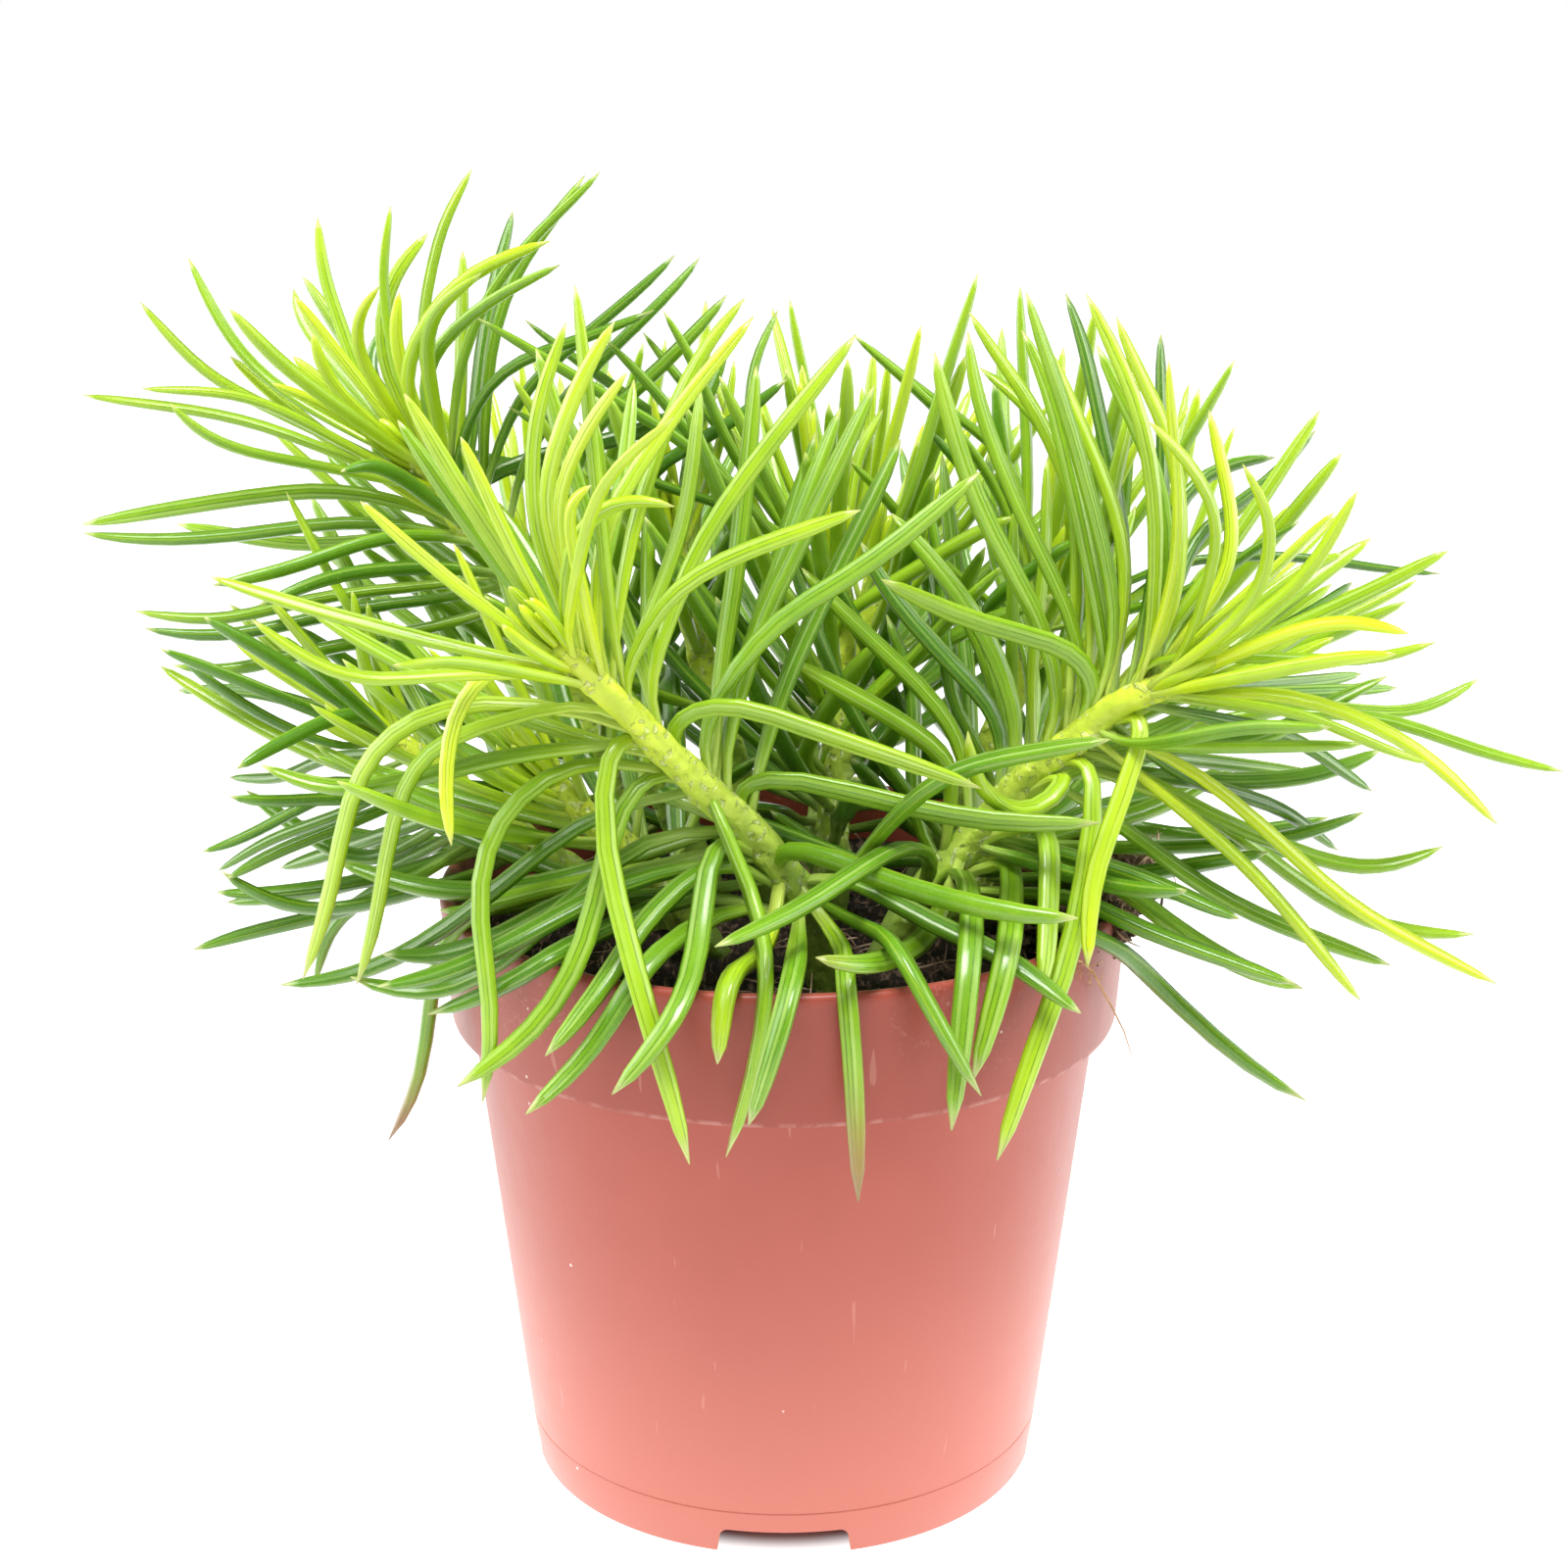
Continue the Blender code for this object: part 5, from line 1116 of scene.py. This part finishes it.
def tip_leaves(stem, draw):
    """The youngest leaves, folded together round the growing tip."""
    pieces = []
    upward = unit(stem[-1] - stem[-4])
    for step in range(TIP_LEAVES):
        outward = turned_away(upward, GOLDEN_ANGLE * step + 0.7)
        lean = math.radians(6 + 3.2 * step)
        length = 0.007 + 0.0016 * step
        heading = math.cos(lean) * upward + math.sin(lean) * outward
        root = stem[-2 - step // 2]
        points = [root + length * (part * heading - 0.25 * part * part * outward) for part in (0, 0.35, 0.7, 1)]
        path = smooth_path(points, BEADS)
        age = 0.02 * step + 0.06 * draw.random()
        pieces.append(dress_leaf(path, upward, 0.00075 + 0.00006 * step, age, 0.0))
    return pieces


def make_shoot(name, draw):
    """One stem with its leaves; the stem swells a little where each leaf grows from it."""
    stem = stems[name]
    body = copy_of(stem_rod)
    body.name = name + "_leaves"
    parts = np.linspace(0, STEM_POINTS - 1, STEM_RINGS + 1)
    line = np.stack([np.interp(parts, np.arange(STEM_POINTS), stem[:, axis]) for axis in range(3)], axis=1)
    radii = stem_radius(parts)
    radii[-3:] *= (0.8, 0.55, 0.1)
    lay(body, stem_shape, line, np.array((0.2, 1.0, 0.1)), radii)
    places = points_of(body)
    ring = np.clip(np.round(stem_shape[:, 2] * STEM_RINGS).astype(int), 0, STEM_RINGS)
    runs = np.gradient(line, axis=0)[ring]
    runs /= lengths(runs)[:, None]
    outwards = places - line[ring]
    outwards /= np.maximum(lengths(outwards), 1e-6)[:, None]
    own = [leaf for leaf in leaves if leaf.shoot == name]
    scar = np.zeros(len(places))
    swell = np.zeros(len(places))
    feet = [leaf.path[0] + unit(leaf.path[1] - leaf.path[0]) * LEAF_FOOT for leaf in own]
    # where leaves have been shed their feet are left
    for step in range(STEM_MARKS):
        part = STEM_AT_SOIL + 3 + int(step * 0.7 * (STEM_POINTS - STEM_AT_SOIL) / STEM_MARKS)
        forward = unit(stem[part + 1] - stem[part])
        outward = turned_away(forward, GOLDEN_ANGLE * step + draw.uniform(-0.4, 0.4))
        feet.append(stem[part] + stem_radius(part) * outward)
    for foot in feet:
        offset = places - foot
        above = (offset * runs).sum(axis=1)
        aside = lengths(offset - above[:, None] * runs)
        # under each leaf a low ridge runs down the stem
        reach = np.where(above > 0, RIDGE_ABOVE, RIDGE_BELOW)
        swell = np.maximum(swell, np.exp(-(aside / RIDGE_WIDTH) ** 2 - (above / reach) ** 2))
        scar = np.maximum(scar, np.exp(-(lengths(offset) / SCAR_RADIUS) ** 2))
    rough = np.array([noise.noise(Vector(place) * SKIN_GRAIN) for place in places])
    places = places + outwards * (RIDGE_HEIGHT * swell + SKIN_ROUGHNESS * rough - 0.00014)[:, None]
    body.data.vertices.foreach_set("co", places.ravel())
    body.data.update()
    stem_part = np.round(stem_shape[:, 2] * STEM_RINGS) / STEM_RINGS
    note(body, "age", np.clip(1.02 - 1.30 * stem_part, 0, 1))
    note(body, "dry", scar)
    note(body, "ridge", swell)
    pieces = []
    shown = 0
    grown = stem[STEM_AT_SOIL:]
    for leaf in own:
        up_the_stem = np.argmin(lengths(grown - leaf.path[0])) / len(grown)
        age = float(np.interp(up_the_stem, *AGE_UP_THE_STEM)) + 0.12 * draw.uniform(-1, 1)
        dry = 0.0
        if leaf.seen:
            age = LEAF_AGES[name][shown] + 0.04 * draw.uniform(-1, 1)
            dry = DRY_TIPS.get(name, {}).get(shown, 0.0)
            shown += 1
        pieces.append(dress_leaf(leaf.path, leaf.upward, leaf.half_width, age, dry))
    pieces += tip_leaves(stem, draw)
    for piece in pieces:
        paint(piece, leaf_skin)
    paint(body, stem_skin)
    shoot = join([body, *pieces])
    bpy.ops.object.shade_smooth()
    show_as(shoot, name)


# leaf skin: waxy and slightly see-through, with a few fine dark lines, a pale line along each edge, a painted
# highlight band and a dotted look from near; yellow-green when young and darker with age, paler at the foot
leaf_skin, place = finish(
    "leaf_skin", {"IOR": 1.45, "Subsurface Weight": 0.12, "Subsurface Scale": 0.002,
                  "Subsurface Radius": (0.6, 1.0, 0.15), "Coat Weight": 0.75, "Coat Roughness": 0.2,
                  "Specular IOR Level": 0.35})
skin = place.node("UVMap", {"uv_map": "skin"}, {})
around = skin.part(0)
along = skin.part(1)
age = place.noted("age")
dry = place.noted("dry")
drift = place.grain(130, 3)
tone = age + 0.03 + 0.20 * (drift - 0.5) - 0.22 * (1 - along.between(0.02, 0.4)) - 0.10 * along.between(0.6, 1.0)
colour = tone.ramp(
    (0.0, (0.61, 0.73, 0.012)), (0.22, (0.42, 0.60, 0.011)), (0.45, (0.235, 0.43, 0.009)),
    (0.7, (0.100, 0.262, 0.006)), (1.0, (0.030, 0.118, 0.003)))
side = place.calculate("ABSOLUTE", around - 0.5 + (place.grain(70, 1) - 0.5) * 0.03)
broken = place.grain(420, 2).between(0.3, 0.55)
lane = place.node("CombineXYZ", {}, {"X": around * 9, "Y": along * 1.6, "Z": age * 37})
uneven = lane.grain(1.0, 1).between(0.38, 0.58)
middle = side.stripe(0.040, 0.004, 0.016)
outer = side.stripe(0.135, 0.004, 0.016)
below = side.stripe(0.36, 0.006, 0.020)
grown = along.between(0.05, 0.25)
line = (middle * uneven + outer * (1 - uneven) + below * 0.4) * (0.45 + 0.55 * broken) * grown
colour = (line * 0.5).blend(colour, (0.030, 0.115, 0.004))
# painted highlight: a pale band between the middle and the outer dark lines, standing in for the shine along the
# leaf
painted_highlight_band = side.stripe(0.088, 0.010, 0.046) * (0.3 + 0.7 * uneven)
colour = (painted_highlight_band * 0.30).blend(colour, (0.60, 0.74, 0.26))
edge = side.stripe(0.25, 0.008, 0.034)
colour = (edge * 0.34).blend(colour, (0.44, 0.62, 0.05))
dots = place.grain(2300, 2).between(0.56, 0.7)
colour = (dots * 0.16).blend(colour, (0.38, 0.58, 0.06))
foot = 1 - along.between(0.05, 0.2)
colour = (foot * 0.5).blend(colour, (0.54, 0.66, 0.17))
point = along.between(0.93, 0.99)
colour = (point * 0.55).blend(colour, (0.66, 0.62, 0.26))
withered = dry * along.between(0.70, 0.95)
colour = withered.blend(colour, (0.30, 0.17, 0.07))
rough = 0.30 + 0.14 * place.grain(500, 3) + 0.2 * withered
relief = 0.22 * place.grain(2300, 2) - 0.5 * line + 0.4 * painted_highlight_band + 0.4 * edge
feed(leaf_skin, Base_Color=colour, Roughness=rough, Normal=relief.bumps(0.00013))

# stem skin: pale yellow-green at the tip and olive near the soil, darker off the ridges as painted shade, with a
# pale torn scar at each leaf's foot and grey-brown specks on the old part
stem_skin, place = finish(
    "stem_skin", {"IOR": 1.45, "Subsurface Weight": 0.2, "Subsurface Scale": 0.003,
                  "Subsurface Radius": (0.8, 1.0, 0.2)})
age = place.noted("age")
scar = place.noted("dry")
ridge = place.noted("ridge")
tone = age + 0.35 * (place.grain(190, 4) - 0.5)
colour = tone.ramp(
    (0.0, (0.62, 0.74, 0.050)), (0.35, (0.53, 0.69, 0.085)), (0.65, (0.30, 0.46, 0.050)),
    (1.0, (0.085, 0.15, 0.022)))
# painted shade: the stem is darker away from the ridges, in the hollows between them
colour = ((1 - ridge.between(0.05, 0.6)) * 0.34).blend(colour, (0.25, 0.37, 0.040))
torn = scar.between(0.5, 0.7) * (1 - scar.between(0.75, 0.95)) * place.grain(900, 3).between(0.48, 0.6)
colour = (torn * 0.4).blend(colour, (0.80, 0.84, 0.56))
flecks = place.grain(900, 3, 0.6).between(0.60, 0.70)
colour = (flecks * (0.02 + 0.34 * age * age)).blend(colour, (0.36, 0.32, 0.18))
relief = place.grain(420, 4) + 0.6 * torn
feed(stem_skin, Base_Color=colour, Roughness=0.34 + 0.24 * age, Normal=relief.bumps(0.0006))

draw = random.Random(29)
for name in STEMS:
    make_shoot(name, draw)
bpy.data.objects.remove(leaf_rod)
bpy.data.objects.remove(stem_rod)

# Loose bits: peat fibres and crumbs on the soil and the clumps, a black stick and a thin dark twig, and
# fine roots that hang over the rim. All of it is dry plant matter that lies or hangs where it fell.

SOIL_FIBRES = 190
CLUMP_FIBRES = 110
CRUMBS = 150
COLLAR_CRUMBS = 34
CRUMB_SIZES = (0.00020, 0.0007)
STRAND_OUTLINE = np.array((0.5, 0.9, 1, 1, 0.95, 0.85, 0.6, 0.3))
ROOT_RADIUS = 0.00021
CURL_RADIUS = 0.00009
TWIG_RADIUS = 0.00028
STICK_RADIUS = 0.00045
HANGING_ROOT = [
    (47, 94.5, -43), (49.3, 91.9, -41), (53.6, 90.5, -35), (57.3, 84, -29), (60, 79, -28), (62, 73.2, -27)]
TWIG = [(66.5, 105, 5), (65.9, 99.4, 4), (64.6, 97, 4), (65.2, 94.6, 4)]
BLACK_STICK = [(57.6, 102.2, -21.5), (59.3, 100.6, -21), (61.5, 98.4, -20)]
CURLS = [(51.2, 90.2, -38.5), (52.6, 89.6, -36.5), (54.6, 89.2, -34), (53.2, 91.0, -36)]

strand_rod = rod("strand", 5, 7)
strand_shape = points_of(strand_rod)


def strand(points, radius):
    """A thin round strand along a curve, finer at its ends."""
    piece = copy_of(strand_rod)
    line = smooth_path([np.array(point) for point in points], len(STRAND_OUTLINE))
    lay(piece, strand_shape, line, np.array((0.1, 0.2, 1.0)), radius * STRAND_OUTLINE)
    return piece


def curl(start, heading, length, bend, draw):
    """The points of a strand that bends at random."""
    points = [start]
    for _ in range(4):
        heading = unit(heading + [draw.uniform(-bend, bend) for _ in range(3)])
        points.append(points[-1] + heading * length / 4)
    return points


draw = random.Random(5)
fibres = []
for _ in range(SOIL_FIBRES):
    angle = draw.uniform(0, math.tau)
    radius = 0.054 * math.sqrt(draw.random())
    x, y = radius * math.cos(angle), radius * math.sin(angle)
    level = np.array((math.cos(angle * 7), math.sin(angle * 7), draw.uniform(-0.1, 0.25)))
    start = np.array((x, y, soil_height(x, y) + 0.0006))
    points = curl(start, unit(level), draw.uniform(0.003, 0.010), 0.5, draw)
    inside = [point for point in points if math.hypot(point[0], point[1]) < 0.0565]
    if len(inside) == len(points):
        fibres.append(strand(points, draw.uniform(0.00009, 0.00022)))
for _ in range(CLUMP_FIBRES):
    centre, size = LUMPS[0] if draw.random() < 0.62 else LUMPS[1]
    way = unit(np.array((draw.uniform(-0.4, 1), draw.uniform(-1, 0.8), draw.uniform(-0.2, 1))))
    start = np.array(centre) + way * np.array(size) * 0.8
    tangent = unit(np.cross(way, (draw.uniform(-1, 1), draw.uniform(-1, 1), draw.uniform(-1, 1))))
    heading = unit(tangent + way * draw.uniform(-0.2, 0.7))
    points = curl(start, heading, draw.uniform(0.003, 0.0085), 0.7, draw)
    fibres.append(strand(points, draw.uniform(0.0001, 0.00024)))
fibre_bits = join(fibres)
fibre_bits.name = "peat_fibres"
bpy.ops.object.shade_smooth()

root_hairs = [strand([sighted(*place) for place in HANGING_ROOT], ROOT_RADIUS)]
for place in CURLS:
    start = sighted(*place)
    for _ in range(3):
        heading = unit(np.array((draw.uniform(-1, 1), draw.uniform(-0.8, 0.1), draw.uniform(-1, 0.6))))
        points = curl(start, heading, draw.uniform(0.002, 0.005), 1.1, draw)
        root_hairs.append(strand(points, CURL_RADIUS))
roots = join(root_hairs)
roots.name = "hanging_root"
bpy.ops.object.shade_smooth()

sticks = join([
    strand([sighted(*place) for place in TWIG], TWIG_RADIUS),
    strand([sighted(*place) for place in BLACK_STICK], STICK_RADIUS)])
sticks.name = "dark_sticks"
bpy.ops.object.shade_smooth()

bpy.ops.mesh.primitive_ico_sphere_add(subdivisions=1, radius=1)
crumb = bpy.context.object
for vertex in crumb.data.vertices:
    vertex.co *= 1 + 0.5 * noise.noise(vertex.co * 3)
crumbs = []
for number in range(CRUMBS):
    piece = copy_of(crumb)
    size = draw.uniform(*CRUMB_SIZES)
    if number < COLLAR_CRUMBS:
        size *= 0.55
        # those that have rolled from the second clump down over the collar
        angle = draw.gauss(-0.36, 0.10)
        height = 0.1065 - abs(draw.gauss(0, 0.0028))
        radius = float(np.interp(height, (COLLAR_BOTTOM, RIM_TOP), (COLLAR_BOTTOM_RADIUS, RIM_RADIUS)))
        radius += size * 0.4
        spot = (radius * math.cos(angle), radius * math.sin(angle), height)
    else:
        angle = draw.uniform(0, math.tau)
        radius = 0.055 * math.sqrt(draw.random())
        x, y = radius * math.cos(angle), radius * math.sin(angle)
        spot = (x, y, soil_height(x, y) + size * 0.3)
    turned = Matrix.Rotation(draw.uniform(0, 6), 4, Vector((draw.random(), draw.random(), 0.5)))
    piece.data.transform(Matrix.Translation(spot) @ turned @ Matrix.Scale(size, 4))
    crumbs.append(piece)
bpy.data.objects.remove(crumb)
bpy.data.objects.remove(strand_rod)
crumb_bits = join(crumbs)
crumb_bits.name = "peat_crumbs"


def dry_matter(name, tone, rough):
    """A dull mottled material: the scale and the detail of its mottle, how sharp it is and its two colours."""
    made, place = finish(name, {"IOR": 1.4})
    scale, detail, sharp, dark, pale = tone
    mottle = place.grain(scale, detail)
    if sharp:
        mottle = mottle.between(0.35, 0.65)
    feed(made, Base_Color=mottle.blend(dark, pale), Roughness=rough[0] + rough[1] * place.grain(900, 2))
    return made


# dry fibre is pale tan to brown, fine root orange-brown, dead wood brown-black and dry crumbs brown
paint(fibre_bits, dry_matter(
    "dry_fibre", (260, 2, True, (0.17, 0.095, 0.055), (0.60, 0.42, 0.29)), (0.7, 0.2)))
paint(roots, dry_matter(
    "root_skin", (300, 2, False, (0.44, 0.22, 0.085), (0.66, 0.39, 0.19)), (0.6, 0.1)))
paint(sticks, dry_matter(
    "dark_wood", (700, 3, False, (0.012, 0.008, 0.007), (0.11, 0.060, 0.050)), (0.6, 0.2)))
paint(crumb_bits, dry_matter(
    "dry_crumb", (400, 3, True, (0.030, 0.017, 0.011), (0.24, 0.145, 0.10)), (0.8, 0.1)))
for piece in (fibre_bits, roots, sticks, crumb_bits):
    show_as(piece, None)

# The studio: a plain pale floor and soft light from a large panel on each side and one above, with the
# camera a little above the pot and looking slightly down.

CAMERA_DIP = 16.4
LENS = 67.68
LIGHT_AIM = Vector((0, 0, 0.12))
AMBIENT = 0.46
MIRRORED_LESS = 0.39
PANELS = [
    ("left_panel", (-1.10, 0.20, 0.60), 1.1, 15), ("right_panel", (1.15, 0.15, 0.60), 1.1, 14),
    ("top_panel", (0.0, -0.45, 1.30), 0.6, 23)]

bpy.ops.mesh.primitive_plane_add(size=8, location=(0, 0, -0.0002))
floor = bpy.context.object
floor.name = "floor"
bpy.ops.object.transform_apply(location=True)
floor_paint, place = finish("floor_paint", {
    "Base Color": (0.38, 0.38, 0.38, 1), "Roughness": 0.7, "Emission Strength": 0.84})
from_axis = place.node("VectorMath", {"operation": "LENGTH"}, {"Vector": place}, 1)
# painted light: the floor glows brightest round the pot and is painted dark under it as the pot's shadow
glow = from_axis.between(0.055, 0.13).blend((1.6, 1.6, 1.6), (1, 1, 1))
feed(floor_paint, Emission_Color=from_axis.between(0.038, 0.0455).blend((0.02, 0.01, 0.012), glow))
paint(floor, floor_paint)

world = bpy.data.worlds.new("studio")
world.use_nodes = True
bpy.context.scene.world = world
backdrop = world.node_tree.nodes["Background"]
backdrop.inputs["Color"].default_value = (1, 1, 1, 1)
rays = Shade(world.node_tree)
seen_direct = rays.node("LightPath", {}, {}, "Is Camera Ray")
mirrored = rays.node("LightPath", {}, {}, "Is Glossy Ray")
strength = AMBIENT + (1 - AMBIENT) * seen_direct - MIRRORED_LESS * mirrored
world.node_tree.links.new(strength.socket, backdrop.inputs["Strength"])

for name, spot, size, power in PANELS:
    light = bpy.data.lights.new(name, "AREA")
    light.shape = "SQUARE"
    light.size = size
    light.energy = power
    lamp = bpy.data.objects.new(name, light)
    lamp.location = spot
    lamp.rotation_euler = (LIGHT_AIM - Vector(spot)).to_track_quat("-Z", "Y").to_euler()
    bpy.context.scene.collection.objects.link(lamp)

lens = bpy.data.cameras.new("camera")
lens.lens = LENS
lens.sensor_width = 36
lens.clip_start = 0.01
camera = bpy.data.objects.new("camera", lens)
camera.location = EYE * MM
camera.rotation_euler = (math.radians(90 - CAMERA_DIP), 0, 0)
bpy.context.scene.collection.objects.link(camera)
bpy.context.scene.camera = camera
bpy.context.scene.view_settings.view_transform = "Standard"
